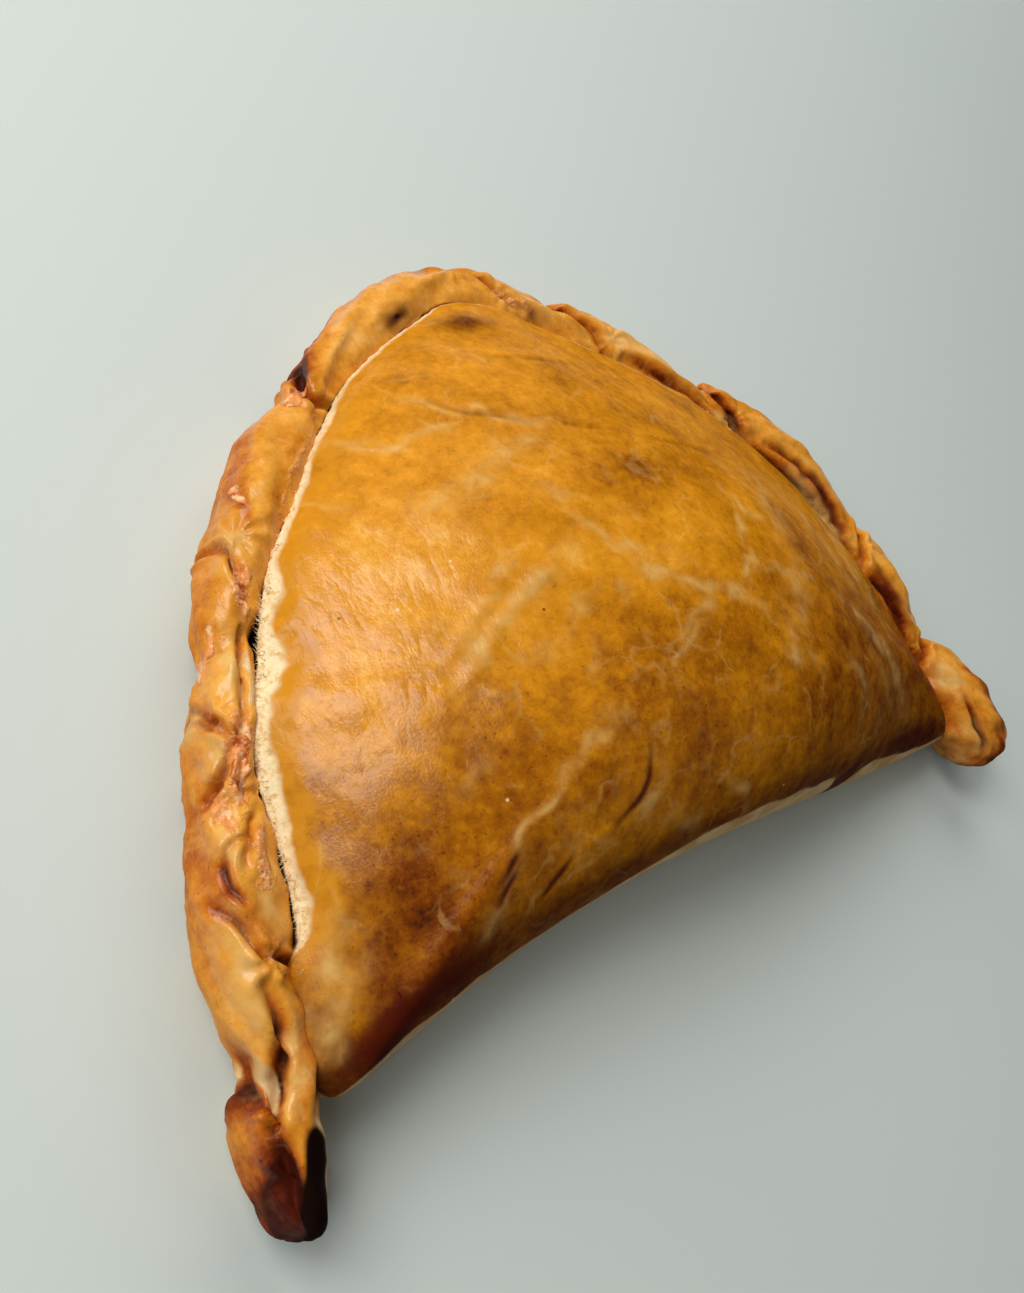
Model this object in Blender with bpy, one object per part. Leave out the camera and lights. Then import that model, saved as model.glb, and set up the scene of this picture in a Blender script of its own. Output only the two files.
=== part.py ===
"""A baked half-moon empanada with a sweet pineapple filling, closed by a hand-twisted rope edge.

One round sheet of dough is folded over the filling, so the straight side is a rounded fold and the
curved side is a rope of lobes, each pressed over the next. The whole is one solid piece of pastry.
The plan is drawn with X along the fold and Y from the fold to the middle of the rope.
"""

import math

import bpy
import numpy as np
from mathutils import Matrix

# Driving dimensions, in millimetres.
MM = 0.001
DOME_HEIGHT = 30.0
DOME_CENTRE = (-5.0, 37.0)
SHEET_EDGE_HEIGHT = 12.5
SHEET_INSET = 3.6
FOLD_NOSE_HEIGHT = 8.0
FOLD_TUCK = 5.0
FOLD_HOLLOW = 5.5
FOLD_LEFT = (-70.0, 5.6)
FOLD_RIGHT = (61.5, 8.4)
ROPE_CREST_HEIGHT = 12.5
ROPE_HALF_HEIGHT = 5.9
ROPE_LIFT_OFF_BASE = 0.6
ROPE_FOOTING = 2.5
LOBE_TIP_DROP = 3.2

# Shares of one: how round the fold is, where its hollow is deepest from right to left, how much
# gentler the dome runs down on its right side, and how wide, tall and blunt a lobe is at its tips.
FOLD_ROUNDNESS = 0.48
FOLD_HOLLOW_DEEPEST = 0.65
RIGHT_SIDE_EASE = 0.25
LOBE_TIP_WIDTH = 0.25
LOBE_TIP_HEIGHT = 0.35
LOBE_BLUNTNESS = 0.55

# The right side's gentler run begins and is full at these two places along X.
RIGHT_SIDE_FROM, RIGHT_SIDE_FULL = -20.0, 50.0

# The baked crust's colour, linear, and its finish.
CRUST_COLOUR = (0.60, 0.27, 0.055, 1.0)
CRUST_ROUGHNESS = 0.4

# The rope's crest in plan, from the left tail to the right tail.
RIM_POINTS = (
    (-74.2, -4.0), (-72.6, 8.0), (-69.2, 23.0), (-64.8, 41.0), (-56.2, 60.0), (-42.0, 79.0),
    (-24.2, 93.6), (-6.0, 100.0), (13.5, 92.0), (34.5, 79.0), (49.5, 61.5), (57.0, 42.0),
    (61.0, 25.0), (67.0, 9.0), (73.5, -3.5),
)

# The filling lies beside the rope between these two lengths along the rim.
FILLED_FROM, FILLED_TO = 14.0, 234.0

# One lobe to a row: start and end along the rim, how far out it starts and ends, its half width,
# the place of its fattest point from 0 at the start to 1 at the end, and how high it sits.
LOBES = (
    ("tail_outer", 1.2, 15.6, 0.9, 1.8, 2.9, 0.52, -1.4),
    ("tail_inner", 0.6, 27.0, 0.7, -2.6, 3.4, 0.38, -1.0),
    ("left_low", 11.5, 36.0, -0.2, 2.0, 4.3, 0.62, 0.0),
    ("left_long", 21.0, 50.0, 1.4, 0.0, 4.8, 0.42, 0.0),
    ("left_middle", 40.5, 62.0, 0.6, -0.4, 4.2, 0.40, 0.0),
    ("left_high", 57.0, 100.0, 1.2, -0.4, 4.5, 0.52, 0.0),
    ("apex", 89.0, 149.0, 0.2, -1.0, 5.0, 0.62, 0.3),
    ("right_first", 133.0, 163.0, 2.4, -1.4, 4.0, 0.45, -0.5),
    ("right_second", 152.0, 191.0, 2.6, -1.8, 4.6, 0.42, 0.0),
    ("right_third", 183.0, 225.0, 3.8, 1.6, 5.2, 0.52, 0.2),
    ("right_fourth", 217.0, 242.0, 3.0, -0.2, 5.4, 0.45, 0.2),
    ("tail_right", 241.0, 265.2, 1.2, -0.8, 7.6, 0.60, 1.0),
)

# How finely the surfaces are divided.
ROUND_STEPS = 104
DOME_RINGS = 13
FOLD_STEPS = 5
BASE_RINGS = 3
LOBE_STATIONS = 15
LOBE_SIDES = 14


def smooth_step(value, low, high):
    """0 below low, 1 above high, and an even ease between."""
    part = np.clip((value - low) / (high - low), 0.0, 1.0)
    return part * part * (3.0 - 2.0 * part)


def smooth_route(points, steps=24):
    """A Catmull-Rom curve through the points, with its length at each step."""
    points = np.array(points)
    knots = np.concatenate([[2 * points[0] - points[1]], points, [2 * points[-1] - points[-2]]])
    pieces = []
    for a, b, c, d in zip(knots, knots[1:], knots[2:], knots[3:]):
        t = np.linspace(0.0, 1.0, steps, endpoint=False)[:, None]
        pieces.append(0.5 * (2 * b + (c - a) * t + (2 * a - 5 * b + 4 * c - d) * t**2
                             + (3 * b - a - 3 * c + d) * t**3))
    route = np.concatenate(pieces + [[knots[-2]]])
    lengths = np.concatenate([[0.0], np.cumsum(np.linalg.norm(np.diff(route, axis=0), axis=1))])
    return route, lengths


RIM, RIM_LENGTHS = smooth_route(RIM_POINTS)


def along_rim(length):
    """Plan points and outward directions at these lengths along the rim, run on past its ends."""
    length = np.asarray(length, float)
    inside = np.clip(length, 0.0, RIM_LENGTHS[-1])
    step = 1.5
    ends = [np.clip(inside + shift, 0.0, RIM_LENGTHS[-1]) for shift in (-step, step)]
    here, before, after = (
        np.stack([np.interp(at, RIM_LENGTHS, RIM[:, axis]) for axis in (0, 1)], axis=-1)
        for at in (inside, *ends)
    )
    heading = after - before
    heading /= np.linalg.norm(heading, axis=-1, keepdims=True)
    outward = np.stack([-heading[..., 1], heading[..., 0]], axis=-1)
    return here + heading * (length - inside)[..., None], outward


def low_waves(ring, waves):
    """A ring of values with only its slowest waves kept, which rounds off its corners."""
    spectrum = np.fft.fft(ring)
    order = np.abs(np.fft.fftfreq(len(ring), 1.0 / len(ring)))
    return np.fft.ifft(np.where(order <= waves, spectrum, 0.0))


def sheet_outline(count):
    """The filled part's plan outline: beside the rope one way, then back along the fold."""
    along = np.linspace(FILLED_FROM, FILLED_TO, 4 * count)
    points, outward = along_rim(along)
    rope_side = points - SHEET_INSET * outward
    part = np.linspace(0.0, 1.0, 3 * count)[:, None]
    fold_side = FOLD_RIGHT + np.subtract(FOLD_LEFT, FOLD_RIGHT) * part
    skewed = part[:, 0] ** (math.log(0.5) / math.log(FOLD_HOLLOW_DEEPEST))
    fold_side[:, 1] += FOLD_HOLLOW * np.sin(math.pi * skewed)
    outline = np.concatenate([rope_side, fold_side])
    on_fold = np.concatenate([np.zeros(len(rope_side)), np.ones(len(fold_side))])
    for _ in range(count // 2):
        outline = (np.roll(outline, 1, 0) + 2 * outline + np.roll(outline, -1, 0)) / 4
        on_fold = (np.roll(on_fold, 1) + 2 * on_fold + np.roll(on_fold, -1)) / 4
    closed = np.concatenate([outline, outline[:1]])
    lengths = np.concatenate([[0.0], np.cumsum(np.linalg.norm(np.diff(closed, axis=0), axis=1))])
    at = np.linspace(0.0, lengths[-1], count, endpoint=False)
    plan = [np.interp(at, lengths, closed[:, axis]) for axis in (0, 1)]
    return np.stack(plan, axis=-1), np.interp(at, lengths, np.append(on_fold, on_fold[0]))


def dome_rings():
    """Rings of the filled part, from near the top of the dome out over its edge to the flat base."""
    outline, on_fold = sheet_outline(ROUND_STEPS)
    slow = low_waves(outline[:, 0] + 1j * outline[:, 1], 2)
    soft_outline = np.column_stack([slow.real, slow.imag])
    soft_fold = np.clip(low_waves(on_fold, 2).real, 0.0, 1.0)
    rings = []
    for part in np.sin(np.linspace(0.0, math.pi / 2, DOME_RINGS + 1)[1:]):
        edge = part**3
        plan = DOME_CENTRE + part * (soft_outline + (outline - soft_outline) * edge - DOME_CENTRE)
        fold = soft_fold + (on_fold - soft_fold) * edge
        right_side = smooth_step(plan[:, 0], RIGHT_SIDE_FROM, RIGHT_SIDE_FULL)
        drop = part**2 * (1.0 + RIGHT_SIDE_EASE * right_side * (1.0 - part**2))
        edge_height = SHEET_EDGE_HEIGHT + (FOLD_NOSE_HEIGHT - SHEET_EDGE_HEIGHT) * fold
        height = edge_height + (DOME_HEIGHT - edge_height) * (1.0 - drop) ** (1.0 - FOLD_ROUNDNESS * fold)
        rings.append(np.column_stack([plan, height]))
    reach = np.linalg.norm(outline - DOME_CENTRE, axis=1)
    tuck = (FOLD_TUCK * on_fold - ROPE_FOOTING * (1.0 - on_fold)) / reach
    for turn in np.linspace(0.0, math.pi / 2, FOLD_STEPS + 1)[1:]:
        part = 1.0 - tuck * (1.0 - math.cos(turn))
        plan = DOME_CENTRE + (outline - DOME_CENTRE) * part[:, None]
        rings.append(np.column_stack([plan, edge_height * (1.0 - math.sin(turn))]))
    for part in np.linspace(1.0, 0.0, BASE_RINGS + 1)[1:-1]:
        plan = DOME_CENTRE + (rings[DOME_RINGS + FOLD_STEPS - 1][:, :2] - DOME_CENTRE) * part
        rings.append(np.column_stack([plan, np.zeros(ROUND_STEPS)]))
    return rings


def lobe_rings(start, end, out_start, out_end, half_width, fattest, lift):
    """Rings of one lobe of the rope: a fat strip of dough that tapers to both ends."""
    at = (1.0 - np.cos(np.linspace(0.0, math.pi, LOBE_STATIONS + 2)[1:-1])) / 2
    skewed = at ** (math.log(0.5) / math.log(fattest))
    fat = (1.0 - (2.0 * skewed - 1.0) ** 2) ** LOBE_BLUNTNESS
    points, outward = along_rim(start + (end - start) * at)
    out = out_start + (out_end - out_start) * smooth_step(at, 0.0, 1.0)
    middle = points + outward * out[:, None]
    tall = ROPE_HALF_HEIGHT * (LOBE_TIP_HEIGHT + (1.0 - LOBE_TIP_HEIGHT) * fat)
    wide = half_width * (LOBE_TIP_WIDTH + (1.0 - LOBE_TIP_WIDTH) * fat)
    crest = ROPE_CREST_HEIGHT + lift - LOBE_TIP_DROP * (1.0 - fat)
    turns = np.linspace(0.0, 2 * math.pi, LOBE_SIDES, endpoint=False)
    rings = []
    for centre, side, width, height, top in zip(middle, outward, wide, tall, crest):
        plan = centre + side * (width * np.cos(turns))[:, None]
        up = top - height + height * np.sin(turns)
        rings.append(np.column_stack([plan, np.maximum(up, ROPE_LIFT_OFF_BASE)]))
    return rings


def skin(name, rings):
    """A closed mesh over a row of rings, with a middle point at each end."""
    count = len(rings[0])
    tips = [rings[0].mean(axis=0), rings[-1].mean(axis=0)]
    points = np.concatenate([*rings, tips]) * MM
    first, last = len(points) - 2, len(points) - 1
    faces = []
    for row in range(len(rings) - 1):
        for k in range(count):
            a, b = row * count + k, row * count + (k + 1) % count
            faces.append((a, b, b + count, a + count))
    end = (len(rings) - 1) * count
    for k in range(count):
        faces.append((first, (k + 1) % count, k))
        faces.append((last, end + k, end + (k + 1) % count))
    mesh = bpy.data.meshes.new(name)
    mesh.from_pydata(points.tolist(), [], [face[::-1] for face in faces])
    mesh.update()
    return bpy.data.objects.new(name, mesh)


def volume(mesh):
    """Six times the signed volume inside a mesh, which is below 0 if its faces point in."""
    mesh.calc_loop_triangles()
    corners = [[mesh.vertices[v].co for v in triangle.vertices] for triangle in mesh.loop_triangles]
    return sum(a.dot(b.cross(c)) for a, b, c in corners)


def face_out(obj):
    if volume(obj.data) < 0:
        obj.data.flip_normals()


def clear_scene():
    for obj in list(bpy.data.objects):
        bpy.data.objects.remove(obj)


def crust_material():
    material = bpy.data.materials.new("baked_crust")
    material.use_nodes = True
    shader = material.node_tree.nodes["Principled BSDF"]
    shader.inputs["Base Color"].default_value = CRUST_COLOUR
    shader.inputs["Roughness"].default_value = CRUST_ROUGHNESS
    shader.inputs["Metallic"].default_value = 0.0
    return material


def build_crust():
    """The filled half-moon and the rope's lobes, joined into one solid on a flat base."""
    crust = skin("crust", dome_rings())
    bpy.context.scene.collection.objects.link(crust)
    face_out(crust)
    rope = bpy.data.collections.new("rope")
    bpy.context.scene.collection.children.link(rope)
    for name, *sizes in LOBES:
        lobe = skin(name, lobe_rings(*sizes))
        face_out(lobe)
        rope.objects.link(lobe)
    union = crust.modifiers.new("rope", "BOOLEAN")
    union.operation = "UNION"
    union.operand_type = "COLLECTION"
    union.collection = rope
    union.solver = "EXACT"
    graph = bpy.context.evaluated_depsgraph_get()
    joined = bpy.data.meshes.new_from_object(crust.evaluated_get(graph))
    crust.modifiers.clear()
    crust.data = joined
    for obj in list(rope.objects):
        bpy.data.objects.remove(obj)
    bpy.data.collections.remove(rope)
    return crust


def centre_on_base(obj):
    """Puts the origin at the middle of the plan box, on the base."""
    corners = np.array([vertex.co for vertex in obj.data.vertices])
    low, high = corners.min(axis=0), corners.max(axis=0)
    middle = (low + high) / 2
    obj.data.transform(Matrix.Translation((-middle[0], -middle[1], -low[2])))


clear_scene()
crust = build_crust()
centre_on_base(crust)
crust.data.materials.clear()
crust.data.materials.append(crust_material())
crust.data.shade_smooth()
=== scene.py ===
import math

import bpy
import numpy as np
from mathutils import Matrix, Vector


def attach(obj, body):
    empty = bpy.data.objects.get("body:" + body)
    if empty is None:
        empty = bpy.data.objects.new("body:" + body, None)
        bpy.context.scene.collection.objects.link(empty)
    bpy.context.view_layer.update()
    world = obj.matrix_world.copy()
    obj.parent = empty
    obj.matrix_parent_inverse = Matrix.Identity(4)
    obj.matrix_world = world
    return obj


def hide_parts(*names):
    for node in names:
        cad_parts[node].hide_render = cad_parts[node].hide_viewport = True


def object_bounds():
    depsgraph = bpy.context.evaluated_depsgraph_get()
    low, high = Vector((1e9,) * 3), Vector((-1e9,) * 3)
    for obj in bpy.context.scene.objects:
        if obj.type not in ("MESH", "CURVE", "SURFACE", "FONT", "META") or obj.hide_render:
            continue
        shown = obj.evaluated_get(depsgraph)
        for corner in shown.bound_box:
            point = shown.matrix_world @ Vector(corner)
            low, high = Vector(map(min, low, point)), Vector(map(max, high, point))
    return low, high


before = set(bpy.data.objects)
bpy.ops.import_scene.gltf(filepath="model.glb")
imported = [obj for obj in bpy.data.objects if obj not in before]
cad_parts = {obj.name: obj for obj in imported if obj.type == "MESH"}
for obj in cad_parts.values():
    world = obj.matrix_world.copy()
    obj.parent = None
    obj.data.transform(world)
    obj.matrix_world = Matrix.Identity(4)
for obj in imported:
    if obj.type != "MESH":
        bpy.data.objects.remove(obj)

cad_low, cad_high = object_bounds()

# ---------------------------------------------------------------------------------------------
# The rim: the line along which the round sheet of dough is closed after folding it over the
# filling. Everything on the pastry is placed by its length along this line, from the left tail
# to the right one, and by how far out of it, or in, it lies. Drawn in plan, in millimetres.
# ---------------------------------------------------------------------------------------------
MM = 0.001
PLAN_MIDDLE = np.array([-1.8973, 50.7847, 0.0])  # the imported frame's origin, in the plan's drawing
RIM_POINTS = (
    (-74.2, -4), (-72.6, 8), (-69.2, 23), (-64.8, 41), (-56.2, 60), (-42, 79),
    (-24.2, 93.6), (-6, 100), (13.5, 92), (34.5, 79), (49.5, 61.5), (57, 42),
    (61, 25), (67, 9), (73.5, -3.5),
)
HEADING_REACH = 1.5  # the rim's heading is read between this far before a place and after it
PLACES_AT_ONCE = 6000  # keeps the search for the nearest place on a route small in memory


def lengths_along(route):
    """The length from a route's start to each of its points."""
    return np.concatenate([[0.0], np.cumsum(np.linalg.norm(np.diff(route, axis=0), axis=1))])


def smooth_route(points, steps=24):
    """A Catmull-Rom curve through the points, with its length at each step."""
    points = np.array(points, float)
    knots = np.concatenate([[2 * points[0] - points[1]], points, [2 * points[-1] - points[-2]]])
    pieces = []
    for a, b, c, d in zip(knots, knots[1:], knots[2:], knots[3:]):
        t = np.linspace(0.0, 1.0, steps, endpoint=False)[:, None]
        pieces.append(0.5 * (2 * b + (c - a) * t + (2 * a - 5 * b + 4 * c - d) * t**2
                             + (3 * b - a - 3 * c + d) * t**3))
    route = np.concatenate(pieces + [[knots[-2]]])
    return route, lengths_along(route)


RIM, RIM_LENGTHS = smooth_route(RIM_POINTS)


def along_rim(length):
    """Plan points and outward directions at these lengths along the rim, run on past its ends."""
    length = np.asarray(length, float)
    inside = np.clip(length, 0.0, RIM_LENGTHS[-1])
    ends = [np.clip(inside + shift, 0.0, RIM_LENGTHS[-1]) for shift in (-HEADING_REACH, HEADING_REACH)]
    here, before, after = (
        np.stack([np.interp(at, RIM_LENGTHS, RIM[:, axis]) for axis in (0, 1)], axis=-1)
        for at in (inside, *ends)
    )
    heading = after - before
    heading /= np.linalg.norm(heading, axis=-1, keepdims=True)
    outward = np.stack([-heading[..., 1], heading[..., 0]], axis=-1)
    return here + heading * (length - inside)[..., None], outward


def nearest_on(route, lengths, plan):
    """Each plan point's nearest length along a route, and how far to its left side it lies."""
    start, step = route[:-1], np.diff(route, axis=0)
    span = (step**2).sum(axis=1)
    along, side = np.zeros(len(plan)), np.zeros(len(plan))
    for first in range(0, len(plan), PLACES_AT_ONCE):
        batch = slice(first, first + PLACES_AT_ONCE)
        part = plan[batch, None, :] - start
        share = np.clip((part * step).sum(axis=2) / span, 0.0, 1.0)
        gap = part - share[..., None] * step
        nearest = (gap**2).sum(axis=2).argmin(axis=1)
        row = np.arange(len(nearest))
        share, gap = share[row, nearest], gap[row, nearest]
        along[batch] = lengths[nearest] + share * np.sqrt(span[nearest])
        cross = step[nearest, 0] * gap[:, 1] - step[nearest, 1] * gap[:, 0]
        side[batch] = np.sign(cross) * np.sqrt((gap**2).sum(axis=1))
    return along, side


# ---------------------------------------------------------------------------------------------
# The filled half-moon: the top sheet of dough over the pineapple filling, with the rounded fold
# along its straight side and the flat base. It was brushed with egg, so it baked to a glossy
# mottled gold. Beside the rope the sheet tore as the filling swelled and left a pale crumb edge.
# ---------------------------------------------------------------------------------------------
DOME_HEIGHT = 30.0
DOME_CENTRE = (-5.0, 37.0)
FILLED_FROM, FILLED_TO = 14.0, 234.0  # the filling lies beside the rope between these lengths
SHEET_EDGE_HEIGHT = 12.5
SHEET_INSET = 3.6  # how far inside the rim the sheet ends
THIN_ROPE_AT, THIN_ROPE_REACH, THIN_ROPE_GAIN = 60.0, 12.0, 0.9  # where it ends nearer the rim
ROPE_FOOTING = 2.5  # how far the foot of the filled part spreads under the rope
WIDER_FOOTING = 4.0  # added on the right, where the rope leans away from the filled part
WIDER_FROM, WIDER_FULL = 174.0, 190.0
RIGHT_CORNER_FROM = 200.0  # past this length the footing runs on to the middle of the fold's corner
FOLD_LEFT, FOLD_RIGHT = (-70.0, 5.6), (61.5, 8.4)
FOLD_HOLLOW = 5.5  # how far the straight side curves in
FOLD_HOLLOW_DEEPEST = 0.65  # the share of the way from right to left where the hollow is deepest
FOLD_NOSE_HEIGHT = 8.0
FOLD_TUCK = 5.0  # how far the fold's underside turns in
FOLD_ROUNDNESS = 0.48  # how much fuller the dome is above the fold
RIGHT_SIDE_EASE = 0.25  # how much sooner it falls away on the right
RIGHT_SIDE_FROM, RIGHT_SIDE_FULL = -20.0, 50.0
OUTLINE_SAMPLES = 104  # sets how softly the outline's corners are rounded
ROUND_STEPS = 760
INNER_RINGS, EDGE_RINGS, WALL_RINGS, BASE_RINGS = 78, 30, 11, 4
EDGE_ZONE = 0.89  # the share of the reach from which the rings lie close together
FINE_FROM_START, FINE_REACH, FINE_GAIN = 42.0, 46.0, 1.5  # closer points along the open slit
SLOW_WAVES = 2  # how many of the outline's waves still show near the top of the dome


def smooth_step(value, low, high):
    """0 below low, 1 above high, and an even ease between."""
    part = np.clip((value - low) / (high - low), 0.0, 1.0)
    return part * part * (3.0 - 2.0 * part)


def bump_at(value, middle, reach):
    """1 at the middle, falling to 0 about two reaches away."""
    return np.exp(-((value - middle) / reach) ** 2)


def low_waves(ring, waves):
    """A ring of values with only its slowest waves kept, which rounds off its corners."""
    spectrum = np.fft.fft(ring)
    order = np.abs(np.fft.fftfreq(len(ring), 1.0 / len(ring)))
    return np.fft.ifft(np.where(order <= waves, spectrum, 0.0))


# How much further out the sheet's torn edge hangs at some places, by length along the rim.
EDGE_HANGS = smooth_route(((14, 0), (20, 0.25), (26, 0.45), (34, 0.4), (37.5, 0.7), (41, 1.3), (45, 1.8),
                           (49, 1.9), (53, 1.7), (56, 0.9), (60, 0.7), (66, 1), (71, 1.2), (75, 0.9),
                           (80, 0.5), (92, 0.5), (102, 0.6), (110, 0.1), (118, -0.4), (125, -0.3),
                           (135, 0), (234, 0)), 8)[0]


def edge_hang(length):
    return np.interp(length, EDGE_HANGS[:, 0], EDGE_HANGS[:, 1])


def sheet_inset(length):
    """How far inside the rim the top sheet ends: it pulled back less where the rope is thin."""
    ripple = 0.12 * np.sin(length / 2.1) + 0.04 * np.sin(length / 0.83 + 1.0)
    nearer = THIN_ROPE_GAIN * bump_at(length, THIN_ROPE_AT, THIN_ROPE_REACH)
    return SHEET_INSET - nearer - edge_hang(length) + ripple * smooth_step(length, FILLED_FROM, 30)


def fold_line(part):
    """Plan points of the hollow line of the fold, from its right end at 0 to its left one at 1."""
    line = FOLD_RIGHT + np.subtract(FOLD_LEFT, FOLD_RIGHT) * part[:, None]
    skewed = part ** (math.log(0.5) / math.log(FOLD_HOLLOW_DEEPEST))
    line[:, 1] += FOLD_HOLLOW * np.sin(math.pi * skewed)
    return line


def sheet_outline(count):
    """The filled part's plan outline: beside the rope one way, then back along the fold."""
    along = np.linspace(FILLED_FROM, FILLED_TO, 4 * OUTLINE_SAMPLES)
    points, outward = along_rim(along)
    rope_side = points - (sheet_inset(along) + edge_hang(along))[:, None] * outward
    fold_side = fold_line(np.linspace(0.0, 1.0, 3 * OUTLINE_SAMPLES))
    outline = np.concatenate([rope_side, fold_side])
    on_fold = np.concatenate([np.zeros(len(rope_side)), np.ones(len(fold_side))])
    for _ in range(OUTLINE_SAMPLES // 2):
        outline = (np.roll(outline, 1, 0) + 2 * outline + np.roll(outline, -1, 0)) / 4
        on_fold = (np.roll(on_fold, 1) + 2 * on_fold + np.roll(on_fold, -1)) / 4
    along = nearest_on(RIM, RIM_LENGTHS, outline)[0]
    hang = edge_hang(along) * (1.0 - on_fold)
    outline = outline + along_rim(along)[1] * hang[:, None]
    closed = np.concatenate([outline, outline[:1]])
    lengths = lengths_along(closed)
    closeness = np.cumsum(1.0 + FINE_GAIN * bump_at(lengths, FINE_FROM_START, FINE_REACH))
    at = np.linspace(closeness[0], closeness[-1], count, endpoint=False)
    at = np.interp(at, closeness, lengths)
    plan = [np.interp(at, lengths, closed[:, axis]) for axis in (0, 1)]
    return np.stack(plan, axis=-1), np.interp(at, lengths, np.append(on_fold, on_fold[0]))


def dome_rings():
    """Rings from near the top of the dome out over its edge to the flat base. With them, for each
    point, how much it lies on the fold and how far down the wall it is, both from 0 to 1."""
    outline, on_fold = sheet_outline(ROUND_STEPS)
    slow = low_waves(outline[:, 0] + 1j * outline[:, 1], SLOW_WAVES)
    soft_outline = np.column_stack([slow.real, slow.imag])
    soft_fold = np.clip(low_waves(on_fold, SLOW_WAVES).real, 0.0, 1.0)
    inner = np.linspace(0.0, EDGE_ZONE, INNER_RINGS + 1)[1:]
    outer = EDGE_ZONE + (1.0 - EDGE_ZONE) * np.linspace(0.0, 1.0, EDGE_RINGS + 1)[1:]
    rings, downs = [], []
    for part in np.concatenate([inner, outer]):
        edge = part**3  # the outline's own bends show near the edge only
        plan = DOME_CENTRE + part * (soft_outline + (outline - soft_outline) * edge - DOME_CENTRE)
        fold = soft_fold + (on_fold - soft_fold) * edge
        right_side = smooth_step(plan[:, 0], RIGHT_SIDE_FROM, RIGHT_SIDE_FULL)
        drop = part**2 * (1.0 + RIGHT_SIDE_EASE * right_side * (1.0 - part**2))
        edge_height = SHEET_EDGE_HEIGHT + (FOLD_NOSE_HEIGHT - SHEET_EDGE_HEIGHT) * fold
        round_off = (1.0 - drop) ** (1.0 - FOLD_ROUNDNESS * fold)
        height = edge_height + (DOME_HEIGHT - edge_height) * round_off
        rings.append(np.column_stack([plan, height]))
        downs.append(0.0)
    reach = np.linalg.norm(outline - DOME_CENTRE, axis=1)
    along = nearest_on(RIM, RIM_LENGTHS, outline)[0]
    footing = ROPE_FOOTING + WIDER_FOOTING * smooth_step(along, WIDER_FROM, WIDER_FULL)
    tucked = np.where(along > RIGHT_CORNER_FROM, smooth_step(on_fold, 0.5, 1.0), on_fold)
    tuck = (FOLD_TUCK * tucked - footing * (1.0 - tucked)) / reach
    for turn in np.linspace(0.0, math.pi / 2, WALL_RINGS + 1)[1:]:
        part = 1.0 - tuck * (1.0 - math.cos(turn))
        plan = DOME_CENTRE + (outline - DOME_CENTRE) * part[:, None]
        rings.append(np.column_stack([plan, edge_height * (1.0 - math.sin(turn))]))
        downs.append(math.sin(turn))
    foot = rings[-1][:, :2]
    for part in np.linspace(1.0, 0.0, BASE_RINGS + 1)[1:-1]:
        plan = DOME_CENTRE + (foot - DOME_CENTRE) * part
        rings.append(np.column_stack([plan, np.zeros(ROUND_STEPS)]))
        downs.append(1.0)
    return rings, np.tile(on_fold, len(rings)), np.repeat(downs, ROUND_STEPS)


def ring_faces(ring_count, around, first):
    """Quads between rows of rings whose points start at this number, with a fan at each end."""
    row, k = np.meshgrid(np.arange(ring_count - 1), np.arange(around), indexing="ij")
    a = first + row * around + k
    b = first + row * around + (k + 1) % around
    quads = np.stack([a + around, b + around, b, a], axis=-1).reshape(-1, 4).tolist()
    tips = first + ring_count * around
    end = first + (ring_count - 1) * around
    for k in range(around):
        quads.append((k + first, (k + 1) % around + first, tips))
        quads.append((end + (k + 1) % around, end + k, tips + 1))
    return quads


def with_tips(rings):
    return np.concatenate([*rings, [rings[0].mean(axis=0)], [rings[-1].mean(axis=0)]])


# One crease of the top sheet to a row: its route in plan, half width, depth, and the height of
# the pale lip beside it. A depth below 0 is a raised wrinkle.
CREASES = (
    (((-25.8, 25.4), (-26.8, 22.4), (-28.4, 20.8), (-30.3, 20), (-32.3, 19.3)), 0.4, 0.16, 0.03),
    (((-31, 19.8), (-35, 18.7), (-38.3, 17.8)), 0.55, -0.1, 0),
    (((-38.2, 18.1), (-40, 17), (-41.5, 16.2), (-42.9, 15.4)), 0.38, 0.16, 0.03),
    (((-45, 20.9), (-46.2, 19.9), (-47.1, 19)), 0.32, 0.1, 0.02),
    (((-45.6, 19.2), (-47.2, 18), (-48.6, 16.6)), 0.36, 0.14, 0.03),
    (((1.5, 64.8), (5, 64), (9, 63.2), (13.6, 62), (16.5, 62.4)), 0.36, 0.12, 0.08),
    (((-13.5, 83), (-9.5, 82), (-4.5, 81.2), (2, 80.4)), 0.4, 0.1, 0.08),
    (((-26.6, 76.6), (-23.6, 73.4), (-19.6, 71.4), (-15.8, 68.8)), 0.4, 0.12, 0.08),
    (((-14.3, 69.2), (-11.9, 68.6), (-9.6, 67.8), (-5.5, 67.1)), 0.3, 0.12, 0.08),
    (((-27.6, 77.9), (-24.4, 74.9), (-20.4, 73.2), (-16.6, 70.6), (-11, 68.6), (-4, 67.6)),
     0.55, -0.17, 0.0),
    (((-39.5, 75.7), (-36, 72.2), (-33.6, 71.3), (-31.2, 72.5), (-26.3, 71.7)), 0.6, -0.18, 0),
    (((-43.5, 39), (-35.7, 44.7), (-26.5, 49.5), (-22.3, 50.7)), 0.95, -0.26, 0),
    (((-43.9, 42.3), (-37.6, 46.6), (-30.3, 51.7)), 0.85, -0.22, 0),
    (((-25.5, 65), (-21, 66.8), (-17, 66.5)), 0.7, -0.14, 0),
)
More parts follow.
